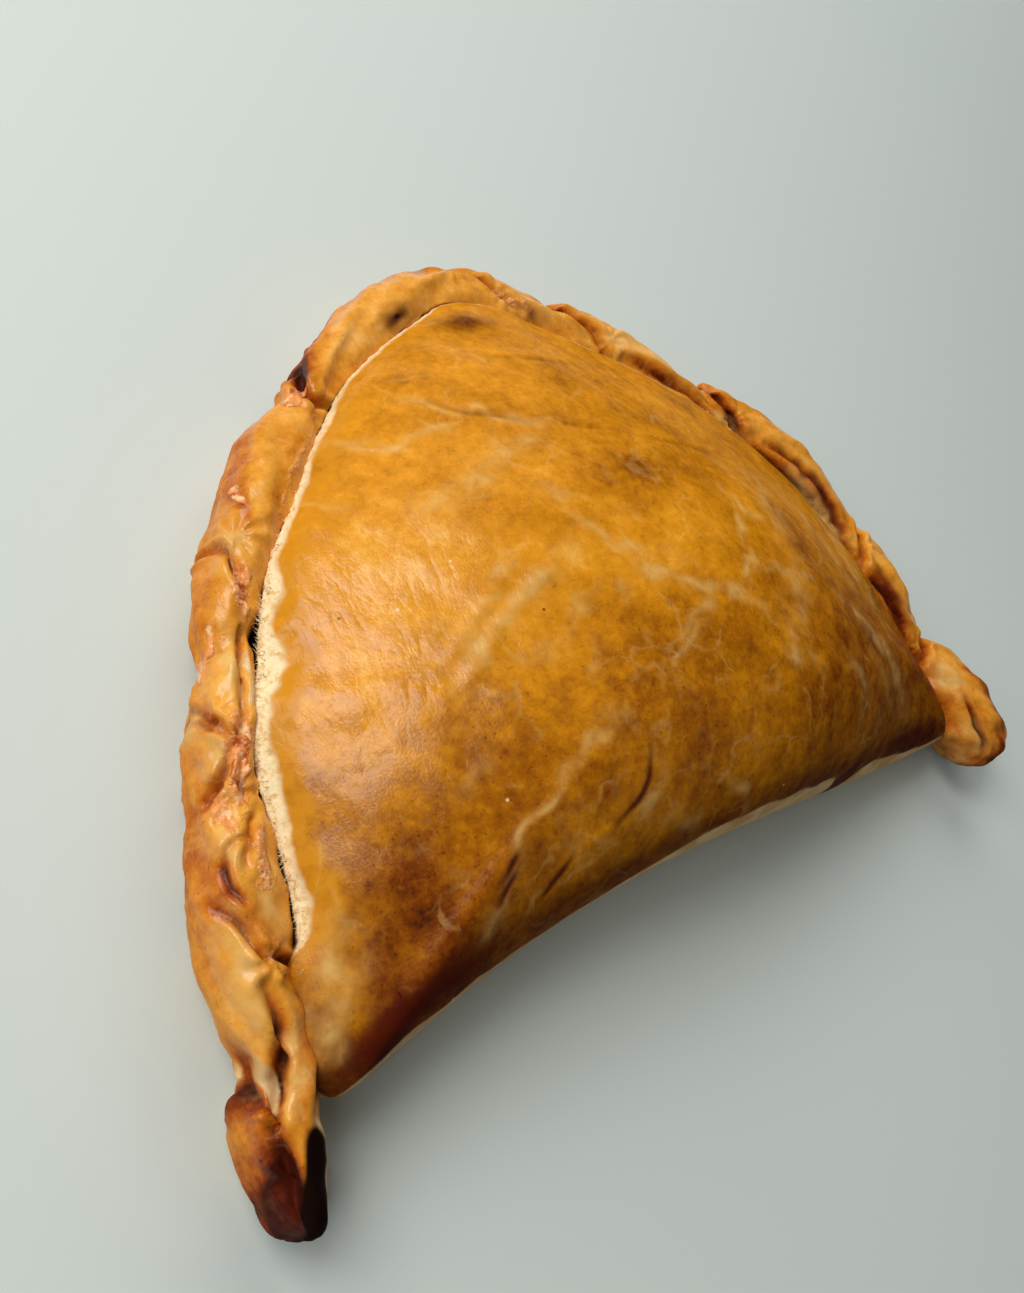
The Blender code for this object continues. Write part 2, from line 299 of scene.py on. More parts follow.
# The thin pale lines where the glaze crazed and ran off: route in plan, half width and strength.
VEINS = (
    (((-29, 78.5), (-25, 74), (-21.7, 73.5), (-19, 70.5), (-12.4, 68.5)), 0.6, 0.75),
    (((-39.5, 75.7), (-36, 72.2), (-33.6, 71.3), (-31.2, 72.5), (-26.3, 71.7)), 0.6, 0.8),
    (((-46, 69), (-43.4, 65.4)), 0.5, 0.6),
    (((-33.2, 61.2), (-25.5, 65), (-21, 66.8), (-17, 66.5)), 1.3, 0.6),
    (((-37.8, 61.2), (-33.2, 62.3), (-30, 63.4)), 0.7, 0.5),
    (((-21.7, 59.4), (-17.5, 56.5)), 0.7, 0.5),
    (((-21, 54.8), (-16.5, 49.2), (-10.4, 46.8)), 0.7, 0.75),
    (((-16.2, 46.2), (-9.8, 42), (-2, 38.9), (1, 39.7)), 0.7, 0.9),
    (((-5.6, 39.6), (-13, 37.2), (-15.6, 35.9)), 0.6, 0.75),
    (((-22.3, 50.7), (-26.5, 49.5), (-35.7, 44.7), (-43.1, 39.3)), 1.3, 0.75),
    (((-30.3, 51.7), (-37.6, 46.6), (-43.9, 42.3)), 1, 0.6),
    (((-22.4, 46), (-28.2, 42.1), (-29.8, 39.6)), 0.8, 0.5),
    (((-18.2, 45), (-20.6, 42.5)), 0.6, 0.4),
    (((-26.4, 39), (-28.6, 35.2)), 0.8, 0.4),
    (((-36.4, 40), (-31.7, 40.1), (-29.4, 41.2)), 0.8, 0.4),
    (((10.2, 54.7), (5, 44), (-1, 40)), 0.7, 0.7),
    (((11.5, 53), (10.6, 50.3), (16.2, 48.3)), 0.7, 0.55),
    (((3, 42), (10, 40.5), (17.6, 38.7)), 0.7, 0.7),
    (((-6.3, 40), (0, 37.3), (3, 33)), 0.5, 0.55),
    (((-11.4, 37), (-18, 33)), 0.6, 0.6),
    (((2.5, 29.5), (4.5, 29)), 1.3, 0.5),
    (((3.3, 33.7), (7, 28.2), (8.5, 26)), 0.9, 0.45),
    (((16.7, 26.3), (20.2, 22.3), (19.2, 18.7)), 1, 0.4),
    (((28.2, 25.4), (31.4, 17)), 1, 0.35),
    (((-1.6, 27), (-5.3, 25.7)), 0.7, 0.4),
    (((-10.7, 21.8), (-8.2, 20)), 0.5, 0.45),
    (((-14, 18.6), (-8.2, 13.7)), 0.6, 0.45),
    (((-27.7, 29.2), (-33.5, 28.3), (-38.3, 25.3), (-42.5, 23.4), (-45, 21), (-48.3, 16.2)), 0.55, 0.7),
    (((-48.3, 16.2), (-51, 14.6)), 0.8, 0.8),
    (((-30, 30.8), (-28.2, 30)), 1.1, 0.5),
    (((-38.8, 22), (-37.8, 18.4)), 0.5, 0.45),
    (((-25.2, 24.3), (-26, 20.5), (-28.8, 19.3)), 0.9, 0.7),
    (((-25.3, 17.8), (-17, 13.7)), 0.7, 0.45),
    (((-63.5, 21), (-66, 16), (-67.5, 11)), 2, 0.75),
    (((-48, 28.8), (-44.3, 31.2)), 0.8, 0.45),
    (((49, 52), (47, 46), (44.5, 38), (46, 30)), 2.4, 0.62),
    (((25.4, 34), (29, 29.4), (34, 25), (35, 18.4), (37, 15)), 1.8, 0.58),
    (((17, 44), (20, 50), (24, 58)), 2.2, 0.5),
    (((15.2, 41.4), (11.4, 37), (6, 33)), 2, 0.5),
    (((30, 56), (34, 50), (36, 42), (35, 35)), 1.8, 0.5),
)
# How wide the pale torn edge is, by length along the rim.
TORN_WIDTHS = ((14, 0), (24, 0), (27, 0.5), (30.4, 1), (33.7, 0.9), (37, 0.7), (40.6, 1.4), (44.4, 1.8),
               (48, 1.3), (51, 1.8), (55.6, 2), (58, 2.5), (60.5, 2), (62.5, 1), (66.9, 1.5), (71, 0.6),
               (74, 0.75), (80, 0.5), (92, 0.4), (102, 0.35), (118, 0.4), (135, 0.2), (150, 0.1), (234, 0.1))
# How wide the pale strip along the fold shows from above, by place along the fold.
FOLD_STRIP_WIDTHS = ((-70, 0.3), (-65, 0.7), (-61, 1.1), (-56, 1), (-50, 1), (-45, 0.7), (-39, 0.4),
                     (-30, 0.4), (-23, 0.7), (-16, 1.2), (2, 1.3), (16, 1.2), (19.5, 0), (23.5, 0),
                     (26, 1.4), (36, 1.1), (48, 0.5), (60, 0.2))
GOLD_BAND = 2.7  # the width of the bright band of glaze beside the torn edge
SKIN_ROLL = 0.50  # how far the glazed skin rolls down over that width
TORN_STEP, TORN_SLOPE = 0.04, 0.60  # the drop where the skin ends, and from there to the crack
CRUMB_DEPTH, CRUMB_REACH = 0.03, 0.10  # how rough the crumb is, up and down and sideways
TORN_FROM, TORN_FULL = 24.0, 28.0  # nearer the left tail the sheet runs into the rope untorn
MERGING_DIP, MERGING_PUSH = 0.9, 1.5  # there its edge dips, and reaches out under the rope
BLISTER, BLISTER_REACH, BLISTER_HEIGHT = (-10.9, 90.6), (4.2, 1.9), 0.45
STROKE_WAVES = 2.2  # the length of the waves by which a stroke wanders to its sides
FAR_OFF = 1000.0


def rolling(places, size, seed, waves=14):
    """An even, soft unevenness from about -1 to 1, whose humps are about this size in mm."""
    draw = np.random.default_rng(seed)
    headings = draw.normal(size=(waves, places.shape[1]))
    headings /= np.linalg.norm(headings, axis=1, keepdims=True)
    headings *= (draw.uniform(0.7, 1.4, waves) * math.pi / size)[:, None]
    total = np.sin(places @ headings.T + draw.uniform(0, 2 * math.pi, waves)).sum(axis=1)
    return total / math.sqrt(waves / 2) / 1.6


def stroke(places, points, half_width, taper=0.5, wander=0.0, seed=0):
    """How fully a soft stroke along these points covers each place, and its side distance."""
    route, lengths = smooth_route(points, 10)
    reach = 5 * half_width + 2 * wander
    near = np.all((places > route.min(axis=0) - reach) & (places < route.max(axis=0) + reach), axis=1)
    cover, side = np.zeros(len(places)), np.full(len(places), FAR_OFF)
    along, aside = nearest_on(route, lengths, places[near])
    if wander:
        aside = aside + wander * rolling(places[near], STROKE_WAVES, seed)
    ends = np.sin(math.pi * np.clip(along / lengths[-1], 0.02, 0.98)) ** taper
    cover[near], side[near] = bump_at(aside, 0.0, half_width) * ends, aside
    return cover, side


def crease_relief(places, creases, two_lips=False):
    """How far the creases push the dough down or up, and how near each place is to one."""
    relief, nearness = np.zeros(len(places)), np.zeros(len(places))
    for points, width, depth, lip in creases:
        close, side = stroke(places, points, width)
        side = np.abs(side) if two_lips else side
        relief -= depth * close
        relief += lip * bump_at(side, 2.0 * width, 1.1 * width)
        nearness = np.maximum(nearness, close if depth > 0 else 0.0)
    return relief, nearness


rings, on_fold, down = dome_rings()
half_moon_points = with_tips(rings)
half_moon_faces = ring_faces(len(rings), ROUND_STEPS, 0)
on_fold, down = np.append(on_fold, [0, 0]), np.append(down, [0, 1])
dome_plan = half_moon_points[:, :2]
dome_length, dome_out = nearest_on(RIM, RIM_LENGTHS, dome_plan)
beside_rope = (smooth_step(dome_length, 12.0, 20.0) * smooth_step(-dome_length, -240.0, -232.0)
               * (1.0 - smooth_step(on_fold, 0.2, 0.7)))
top = 1.0 - smooth_step(down, 0.0, 0.02)

# The torn edge slopes down to the crack, rough with crumb. The glazed skin ends in a ragged line
# and rolls down to it over the width of the gold band.
torn_width = np.interp(dome_length, *np.transpose(TORN_WIDTHS))
torn_width *= 1.0 + 0.15 * rolling(dome_plan, 4.5, 51) + 0.09 * rolling(dome_plan, 1.2, 52, 24)
past_glaze = dome_out + sheet_inset(dome_length) + torn_width
into_tear = smooth_step(past_glaze, -0.15, 0.40) * beside_rope
tear_depth = np.clip(past_glaze / np.maximum(torn_width, 0.3), 0.0, 1.0)
crumb = rolling(half_moon_points, 0.7, 5, 30) + 0.6 * rolling(half_moon_points, 0.33, 6, 30)
roll_down = smooth_step(past_glaze, -GOLD_BAND, 0.1) * beside_rope
torn_drop = TORN_STEP + TORN_SLOPE * tear_depth + CRUMB_DEPTH * crumb
half_moon_points[:, 2] -= top * (SKIN_ROLL * roll_down**2 + into_tear * torn_drop)
torn_here = smooth_step(dome_length, TORN_FROM, TORN_FULL)
merging = (1 - torn_here) * (1 - smooth_step(on_fold, 0.3, 0.8))
half_moon_points[:, 2] -= top * MERGING_DIP * smooth_step(past_glaze, -2.4, 0.3) * merging
wall = smooth_step(down, 0.0, 0.05) * (1 - smooth_step(down, 0.8, 0.95)) * beside_rope
push = CRUMB_REACH * crumb * (wall + top * into_tear * smooth_step(tear_depth, 0.5, 1.0))
push += MERGING_PUSH * merging * smooth_step(past_glaze, -3.0, 0.0) * (1 - smooth_step(down, 0.9, 1.0))
half_moon_points[:, :2] += along_rim(dome_length)[1] * push[:, None]

# The sheet's own unevenness in millimetres, its creases and a dark blister by the rope's top. The
# rings crowd together at the top of the dome, so it stays even there.
SINK = 0.16  # keeps the humps from raising the sheet as a whole
crease, crease_near = crease_relief(dome_plan, CREASES)
skin_share = top * (1.0 - into_tear)
swell = 0.20 * rolling(dome_plan, 11.0, 21) + 0.08 * rolling(dome_plan, 4.5, 22)
fine = 0.03 * rolling(dome_plan * (1.0, 0.55), 2.0, 23, 30) * bump_at(dome_plan[:, 0], -50.0, 22.0)
blister = np.exp(-(((dome_plan - BLISTER) / BLISTER_REACH) ** 2).sum(axis=1))
far_from_top = smooth_step(np.linalg.norm(dome_plan - DOME_CENTRE, axis=1), 4.0, 12.0)
uneven = crease + (swell - SINK) * far_from_top + fine + BLISTER_HEIGHT * blister
half_moon_points[:, 2] += skin_share * uneven

# Torn fibres of dough that reach over the crack, finer than the crumb. Seven in eight of them
# are where it is open, between the first two of these lengths along the rim.
FIBRES, FIBRE_SIDES, FIBRE_STEPS = 560, 3, 4
OPEN_FROM, OPEN_TO, FIBRES_TO = 24, 68, 92
draw = np.random.default_rng(71)
fibre_lengths = np.concatenate([draw.uniform(OPEN_FROM, OPEN_TO, FIBRES * 7 // 8),
                                draw.uniform(OPEN_TO, FIBRES_TO, FIBRES // 8)])
fibre_points, fibre_faces = [], []
for length in fibre_lengths:
    (here,), (outward,) = along_rim([length])
    root = here - outward * (sheet_inset(np.array([length]))[0] + draw.uniform(0.0, 0.9))
    reach, radius = draw.uniform(0.30, 0.95), draw.uniform(0.03, 0.07)
    aside = np.array([outward[1], -outward[0]]) * draw.uniform(-0.7, 0.7)
    height = SHEET_EDGE_HEIGHT - draw.uniform(0.6, 1.9)
    first = len(half_moon_points) + len(fibre_points)
    for step in range(FIBRE_STEPS):
        part = step / (FIBRE_STEPS - 1)
        centre = root + (outward + aside * part) * reach * part
        up = height + 0.35 * reach * math.sin(2.2 * part)
        for turn in range(FIBRE_SIDES):
            angle = 2 * math.pi * turn / FIBRE_SIDES
            thick = radius * (1.0 - 0.8 * part)
            fibre_points.append((centre[0] + thick * math.cos(angle), centre[1] + thick * math.sin(angle),
                                 up + thick * math.sin(angle + 1.0)))
        if step:
            low = first + (step - 1) * FIBRE_SIDES
            for turn in range(FIBRE_SIDES):
                after = (turn + 1) % FIBRE_SIDES
                fibre_faces.append((low + turn, low + after, low + FIBRE_SIDES + after,
                                    low + FIBRE_SIDES + turn))


def packed(points):
    """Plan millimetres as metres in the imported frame, kept within the CAD model's own size."""
    return np.clip((points - PLAN_MIDDLE) * MM, cad_low, cad_high)


def pastry_mesh(name, points, faces):
    mesh = bpy.data.meshes.new(name)
    mesh.from_pydata(packed(points).tolist(), [], faces)
    mesh.update()
    mesh.shade_smooth()
    piece = bpy.data.objects.new(name, mesh)
    bpy.context.scene.collection.objects.link(piece)
    return piece


def keep_marks(piece, marks):
    """Keeps each mark as one number from 0 to 1 for each point, which the finish reads by name."""
    for name, values in marks.items():
        layer = piece.data.attributes.new(name, "FLOAT", "POINT")
        layer.data.foreach_set("value", np.clip(values, 0.0, 1.0).astype(np.float32))


half_moon = pastry_mesh("filled_half_moon", np.concatenate([half_moon_points, fibre_points]),
                        half_moon_faces + fibre_faces)

# How brown each place baked, with painted shade in the same number: darkest along the fold, over the
# lower middle and to the right, partly from baking and partly as painted shade where less light falls,
# and least by the rope. For each spot, its plan place, how far it reaches each way, and how much
# browner it is. The paler spots on the left of the dome partly paint the window's sheen as a highlight.
BROWN_SPOTS = (
    (-60, 13.5, 6, 5, 0.16), (-53, 18, 6, 8, 0.13), (-51, 28.5, 7, 6, 0.12),
    (-65, 9.5, 5, 2.6, 0.3), (-57.5, 21.5, 4, 4, 0.16), (6, 56, 5, 4, 0.08),
    (-43, 32.5, 7, 6, 0.09), (-37, 26, 6, 5, 0.12), (-19, 36.5, 4.5, 5, 0.17),
    (-9, 33, 6, 5, 0.08), (-5, 58.6, 7, 3, 0.3), (-13, 58, 3, 2.2, 0.14),
    (-4, 76, 6, 2.6, 0.1), (2, 69, 7, 2.4, 0.1), (-10.9, 90.6, 3.8, 2.2, 0.4),
    (12, 26, 6, 6, 0.1), (30, 30, 9, 9, 0.1), (44, 22, 8, 8, 0.06),
    (-22, 26, 7, 5, 0.06), (12, 61, 5, 3.5, 0.08), (22, 46, 5, 6, 0.1),
    (-38, 69, 6, 6, -0.1), (-40, 57, 9, 8, -0.14), (-24, 49, 5, 3.5, -0.14),
    (-7, 48, 9, 5, -0.22), (-23, 43, 7, 5, -0.08), (12, 50, 6, 5, -0.12),
    (-33, 44, 7, 4, -0.08), (-14, 82, 9, 5, -0.08), (-50, 47, 12, 16, -0.14),
    (-65, 17, 2.2, 7, -0.22), (-36, 18, 6, 4, -0.06), (40, 50, 8, 14, -0.14),
    (-26, 70, 6, 4, -0.05),
)
x, y = dome_plan[:, 0], dome_plan[:, 1]
way_left = np.clip((FOLD_RIGHT[0] - x) / (FOLD_RIGHT[0] - FOLD_LEFT[0]), 0.0, 1.0)
fold_gap = y - fold_line(way_left)[:, 1]
# Darker towards the fold, the lower side and the right: partly browning, partly painted shade.
browning_and_shade = (0.36 + 0.22 * (1 - smooth_step(y, 14.0, 62.0)) + 0.12 * smooth_step(x, -5.0, 50.0)
            + 0.15 * (1 - smooth_step(fold_gap, 1.5, 5.0)))
for spot_x, spot_y, reach_x, reach_y, strength in BROWN_SPOTS:
    browning_and_shade += strength * bump_at(x, spot_x, reach_x) * bump_at(y, spot_y, reach_y)
in_gold_band = (smooth_step(past_glaze + 0.5 * rolling(dome_plan, 1.7, 63, 24), -2.9, -1.7) * beside_rope
                * smooth_step(torn_width, 0.1, 0.6) * (1 - smooth_step(past_glaze, 0.0, 0.6)))
footed = smooth_step(dome_length, 170.0, 185.0) * smooth_step(-on_fold, -0.9, -0.4)  # the wide foot
# Painted shade darkens the creases a little; the wide foot on the right baked browner.
browning_and_shade += 0.10 * crease_near + 0.30 * footed * smooth_step(down, 0.1, 0.5)

# The fold's maroon places: a band above its pale strip, both corners, and a burnt spot on the right.
FOLD_STAINS = (
    (((-70, 6.4), (-65, 9.4), (-60, 11.6), (-54, 12.8), (-47, 13.6)), 2, 1.2),
    (((-50, 13), (-40, 13.6), (-26, 14), (-10, 13.6)), 1, 0.5),
    (((-8, 13.2), (4, 12.8), (16, 12.2), (28, 11.6)), 1.3, 0.55),
    (((30, 12), (40, 11.6), (50, 10.6)), 2, 0.9),
    (((24, 20), (34, 18), (46, 15)), 5, 0.22),
    (((17.5, 10.5), (20.5, 10.9), (24, 11.2)), 1.2, 1.7),
    (((19, 12.9), (22, 13.2), (25, 13.1)), 0.5, 0.7),
    (((-31, 12.8), (-27, 13.2), (-23, 13.2)), 0.5, 0.6),
)
# Painted shade darkens the slits inside, most of all the ones near the fold. The blister is dark
# in its own colour.
maroon_and_crease_shade = 0.55 * blister + 0.90 * crease_near * smooth_step(-y, -30.0, -24.0) + 0.30 * crease_near
for number, (points, half_width, strength) in enumerate(FOLD_STAINS):
    cover = stroke(dome_plan, points, half_width, taper=0.6, wander=0.3, seed=180 + number)[0]
    maroon_and_crease_shade = np.maximum(maroon_and_crease_shade, strength * cover)
VEIN_SPREAD, VEIN_STRENGTH = 1.15, 0.88
pale = np.zeros(len(dome_plan))
for number, (points, half_width, strength) in enumerate(VEINS):
    cover = stroke(dome_plan, points, VEIN_SPREAD * half_width, taper=0.35, wander=0.6, seed=80 + number)[0]
    pale = np.maximum(pale, VEIN_STRENGTH * strength * cover)
pale *= 0.75 + 0.50 * rolling(dome_plan, 2.4, 61)
strip_width = np.interp(x, *np.transpose(FOLD_STRIP_WIDTHS)) * (1.0 + 0.15 * rolling(dome_plan, 5.0, 62))
strip = (1 - smooth_step(fold_gap, strip_width - 0.3, strip_width + 0.6)) * smooth_step(on_fold, 0.2, 0.6)
strip *= smooth_step(strip_width, 0.05, 0.3)
under = smooth_step(down, 0.10, 0.22) * on_fold
into_cream = smooth_step(past_glaze, -0.8, 0.5) * beside_rope * top * torn_here
bare_dough = np.maximum.reduce([into_cream, wall * torn_here * (1 - footed), under, strip])
# The sheet's wall down in the crack is painted dark: partly its dark filling, partly painted shade.
crack_shade = smooth_step(down, 0.06, 0.20) * beside_rope * (0.2 + 0.8 * torn_here) * (1 - footed)
gloss = ((1.0 - 0.72 * smooth_step(browning_and_shade, 0.40, 0.75) - 0.5 * in_gold_band)
         * smooth_step(fold_gap, 3.0, 9.0) * (1 - 0.9 * smooth_step(x, -26.0, 8.0)))
marks = {"browning_and_shade": browning_and_shade, "pale": pale, "bare": bare_dough,
         "tear": np.maximum(into_tear * top, wall) * torn_here, "juice": 0 * x,
         "maroon_and_crease_shade": maroon_and_crease_shade * (1 - strip), "burnt_and_crack_shade": crack_shade, "gold": in_gold_band,
         "creping": bump_at(x, -52.0, 20.0) * bump_at(y, 46.0, 26.0) * top, "gloss": gloss}
for name in marks:
    on_fibre = 1.0 if name in ("bare", "tear") else 0.0
    marks[name] = np.append(marks[name], np.full(len(fibre_points), on_fibre))
keep_marks(half_moon, marks)


def linear(hex_colour):
    """A colour given as sRGB hex, as the shader takes it."""
    parts = [int(hex_colour[k:k + 2], 16) / 255 for k in (1, 3, 5)]
    return tuple(p / 12.92 if p <= 0.04045 else ((p + 0.055) / 1.055) ** 2.4 for p in parts) + (1.0,)


def add_node(tree, kind, settings=None, sockets=None):
    """Adds one node. A socket, given by name or number, takes a value or another's output."""
    node = tree.nodes.new("ShaderNode" + kind)
    for name, value in (settings or {}).items():
        setattr(node, name, value)
    for name, value in (sockets or {}).items():
        if isinstance(value, bpy.types.NodeSocket):
            tree.links.new(value, node.inputs[name])
        else:
            node.inputs[name].default_value = value
    return node


# All of the dough is the same wheat dough, brushed with egg where it shows. The egg bakes to a
# thin, clear, glossy coat, and the dough under it browns unevenly, least in the fine pale veins
# where the glaze crazed. Torn and hidden dough has no coat and stays cream. Pattern sizes are in
# millimetres.
DOUGH_ROUGHNESS, DOUGH_IOR, DOUGH_SPECULAR = 0.70, 1.45, 0.05
COAT_ROUGHNESS, COAT_IOR = 0.22, 1.5
RELIEF_HEIGHT = 0.28  # how high the fine relief stands
CRAZE_CELL, CRAZE_WANDER, CRAZE_BEND = 9.0, 7.0, 11.0  # the unmarked veins: spacing, and how they bend
FAINT_VEINS = 0.25  # and how strong they are
DOT_SPACING = 4.0
CREPE_WIDTH, CREPE_TURN, CREPE_STRETCH = 2.0, 0.35, 0.45
DOME_BAKE = ("#EFB24A", "#E0931A", "#C67D08", "#A05E04", "#763703", "#341006")
GOLD, PALE_GLAZE_AND_HIGHLIGHT, MAROON_AND_CREASE_SHADE, SCORCHED_AND_CRACK_SHADE = "#CE881A", "#DFB56A", "#4A1408", "#150805"
DARK_DOT, PALE_SPECK = "#3A1606", "#F0D6A2"
DARK_JUICE, JUICE, JUICE_FLAKE = "#B04E16", "#E9964F", "#F6C48C"
HIDDEN_DOUGH, CREAM_DOUGH = "#CFA168", "#E6C48E"
CRUMB_HOLLOW, CRUMB = "#DDB272", "#F5DEB0"


def egg_washed_crust(name, bake_colours):
    """Glazed and baked dough. bake_colours run from the palest place to the darkest."""
    material = bpy.data.materials.new(name)
    material.use_nodes = True
    tree = material.node_tree
    shader = tree.nodes["Principled BSDF"]
    place = add_node(tree, "TexCoord").outputs["Object"]
    place = add_node(tree, "VectorMath", {"operation": "SCALE"}, {0: place, "Scale": 1 / MM}).outputs[0]

    def value(operation, *terms, clamp=False):
        sockets = dict(enumerate(terms))
        return add_node(tree, "Math", {"operation": operation, "use_clamp": clamp}, sockets).outputs[0]

    def marked(name):
        return add_node(tree, "Attribute", {"attribute_name": name}).outputs["Fac"]

    def mottle(size, detail, where=place):
        sockets = {"Vector": where, "Scale": 1.0 / size, "Detail": detail, "Roughness": 0.55}
        return add_node(tree, "TexNoise", None, sockets).outputs["Fac"]

    def ramp(fraction, low, high):
        sockets = {"Value": fraction, "From Min": low, "From Max": high}
        return add_node(tree, "MapRange", {"interpolation_type": "SMOOTHSTEP"}, sockets).outputs[0]

    def blend(share, first, second):
        return add_node(tree, "Mix", {"data_type": "RGBA"}, {0: share, 6: first, 7: second}).outputs[2]

    def more(base, share, pattern):
        """The base with the pattern added about its middle value."""
        return value("MULTIPLY_ADD", value("SUBTRACT", pattern, 0.5), share, base)

    patches, blotches = mottle(13.0, 3.0), mottle(4.2, 4.0)
    speckle, pores = mottle(0.9, 3.0), mottle(0.33, 2.0)

    # Browning and painted shade: broad patches, blotches of a few millimetres, a fine speckle and tiny dark
    # dots.
    brown = more(more(more(marked("browning_and_shade"), 0.45, patches), 0.48, blotches), 0.30, speckle)
    brown = more(more(brown, 0.34, mottle(1.9, 2.0)), 0.16, pores)
    brown = value("MULTIPLY_ADD", ramp(mottle(0.55, 1.0), 0.66, 0.76), 0.14, brown)
    bake = add_node(tree, "ValToRGB", None, {0: brown})
    stops = bake.color_ramp.elements
    for number, colour in enumerate(bake_colours):
        at = number / (len(bake_colours) - 1)
        stop = stops[0] if number == 0 else stops[-1] if at == 1.0 else stops.new(at)
        stop.position, stop.color = at, linear(colour)
    gold = value("MULTIPLY_ADD", ramp(mottle(2.6, 3.0), 0.34, 0.60), 0.65, 0.25)
    colour = blend(value("MULTIPLY", marked("gold"), gold), bake.outputs["Color"], linear(GOLD))

    # Pale veins, where the glaze crazed and ran off: the marked ones, and faint fine ones between.
    #  On the rope some of the marked pale strokes are painted highlights.
    wander = add_node(tree, "TexNoise", None, {"Vector": place, "Scale": 1 / CRAZE_WANDER, "Detail": 4.0})
    warped = add_node(tree, "VectorMath", {"operation": "MULTIPLY_ADD"},
                      {0: wander.outputs["Color"], 1: (CRAZE_BEND,) * 3, 2: place}).outputs[0]
    cells = add_node(tree, "TexVoronoi", {"feature": "DISTANCE_TO_EDGE"},
                     {"Vector": warped, "Scale": 1 / CRAZE_CELL}).outputs["Distance"]
    faint = value("MULTIPLY", value("SUBTRACT", 1.0, ramp(cells, 0.0, 0.06)),
                  ramp(mottle(8.0, 2.0), 0.46, 0.64))
    veins_and_highlights = value("MULTIPLY_ADD", faint, FAINT_VEINS, marked("pale"), clamp=True)
    veins_and_highlights = value("MULTIPLY", veins_and_highlights, value("MULTIPLY_ADD", ramp(mottle(2.2, 3.0), 0.3, 0.65), 0.60, 0.36))
    colour = blend(veins_and_highlights, colour, linear(PALE_GLAZE_AND_HIGHLIGHT))
    # Maroon: the fold's stains and the blister in their own colour, and painted shade in the creases.
    colour = blend(value("MULTIPLY", marked("maroon_and_crease_shade"), 0.92), colour, linear(MAROON_AND_CREASE_SHADE))

    # Sparse dots under half a millimetre: dark ones of scorched egg, and pale specks.
    dots = add_node(tree, "TexVoronoi", None, {"Vector": place, "Scale": 1 / DOT_SPACING})
    dot = value("SUBTRACT", 1.0, ramp(dots.outputs["Distance"], 0.03, 0.07))
    kind = add_node(tree, "SeparateColor", None, {0: dots.outputs["Color"]})
    dark_dot = value("MULTIPLY", dot, ramp(kind.outputs[0], 0.90, 0.91))
    pale_dot = value("MULTIPLY", dot, ramp(kind.outputs[1], 0.80, 0.81))
    colour = blend(value("MULTIPLY", dark_dot, 0.8), colour, linear(DARK_DOT))
    colour = blend(value("MULTIPLY", pale_dot, 0.7), colour, linear(PALE_SPECK))

    # Caramelised fruit juice that seeped along the rope, moist, flaky and pinkish orange.
    flakes = mottle(1.6, 3.0)
    juice = ramp(more(marked("juice"), 0.9, flakes), 0.30, 0.62)
    juice_colour = blend(ramp(flakes, 0.36, 0.54), linear(DARK_JUICE), linear(JUICE))
    juice_colour = blend(ramp(speckle, 0.50, 0.64), juice_colour, linear(JUICE_FLAKE))
    colour = blend(juice, colour, juice_colour)

    # Bare dough: cream, without the coat, and crumbly where it is torn.
    tear = marked("tear")
    bare = ramp(more(marked("bare"), 0.45, speckle), 0.30, 0.75)
    dough = blend(ramp(blotches, 0.35, 0.65), linear(HIDDEN_DOUGH), linear(CREAM_DOUGH))
    crumb_colour = blend(ramp(speckle, 0.30, 0.55), linear(CRUMB_HOLLOW), linear(CRUMB))
    colour = blend(bare, colour, blend(tear, dough, crumb_colour))

    # Burnt places, and the crack, dark partly from its filling and partly from painted shade.
    scorch_and_crack_shade = ramp(more(marked("burnt_and_crack_shade"), 0.35, blotches), 0.3, 0.75)
    colour = blend(scorch_and_crack_shade, colour, linear(SCORCHED_AND_CRACK_SHADE))
    tree.links.new(colour, shader.inputs["Base Color"])

    # The coat is smooth on the glaze, thinner where it baked brown, and absent on bare dough.
    glazed = value("SUBTRACT", 1.0, bare)
    glazed = value("MULTIPLY", glazed, value("SUBTRACT", 1.0, scorch_and_crack_shade))
    glazed = value("MAXIMUM", value("MULTIPLY", glazed, marked("gloss")), value("MULTIPLY", juice, 0.9))
    tree.links.new(value("MULTIPLY", glazed, value("MULTIPLY_ADD", blotches, 0.5, 0.6)),
                   shader.inputs["Coat Weight"])
    shader.inputs["Coat Roughness"].default_value = COAT_ROUGHNESS
    shader.inputs["Coat IOR"].default_value = COAT_IOR
    rough = value("MULTIPLY_ADD", glazed, -0.26, value("MULTIPLY_ADD", pores, 0.2, DOUGH_ROUGHNESS))
    tree.links.new(rough, shader.inputs["Roughness"])
    shader.inputs["IOR"].default_value = DOUGH_IOR
    shader.inputs["Specular IOR Level"].default_value = DOUGH_SPECULAR

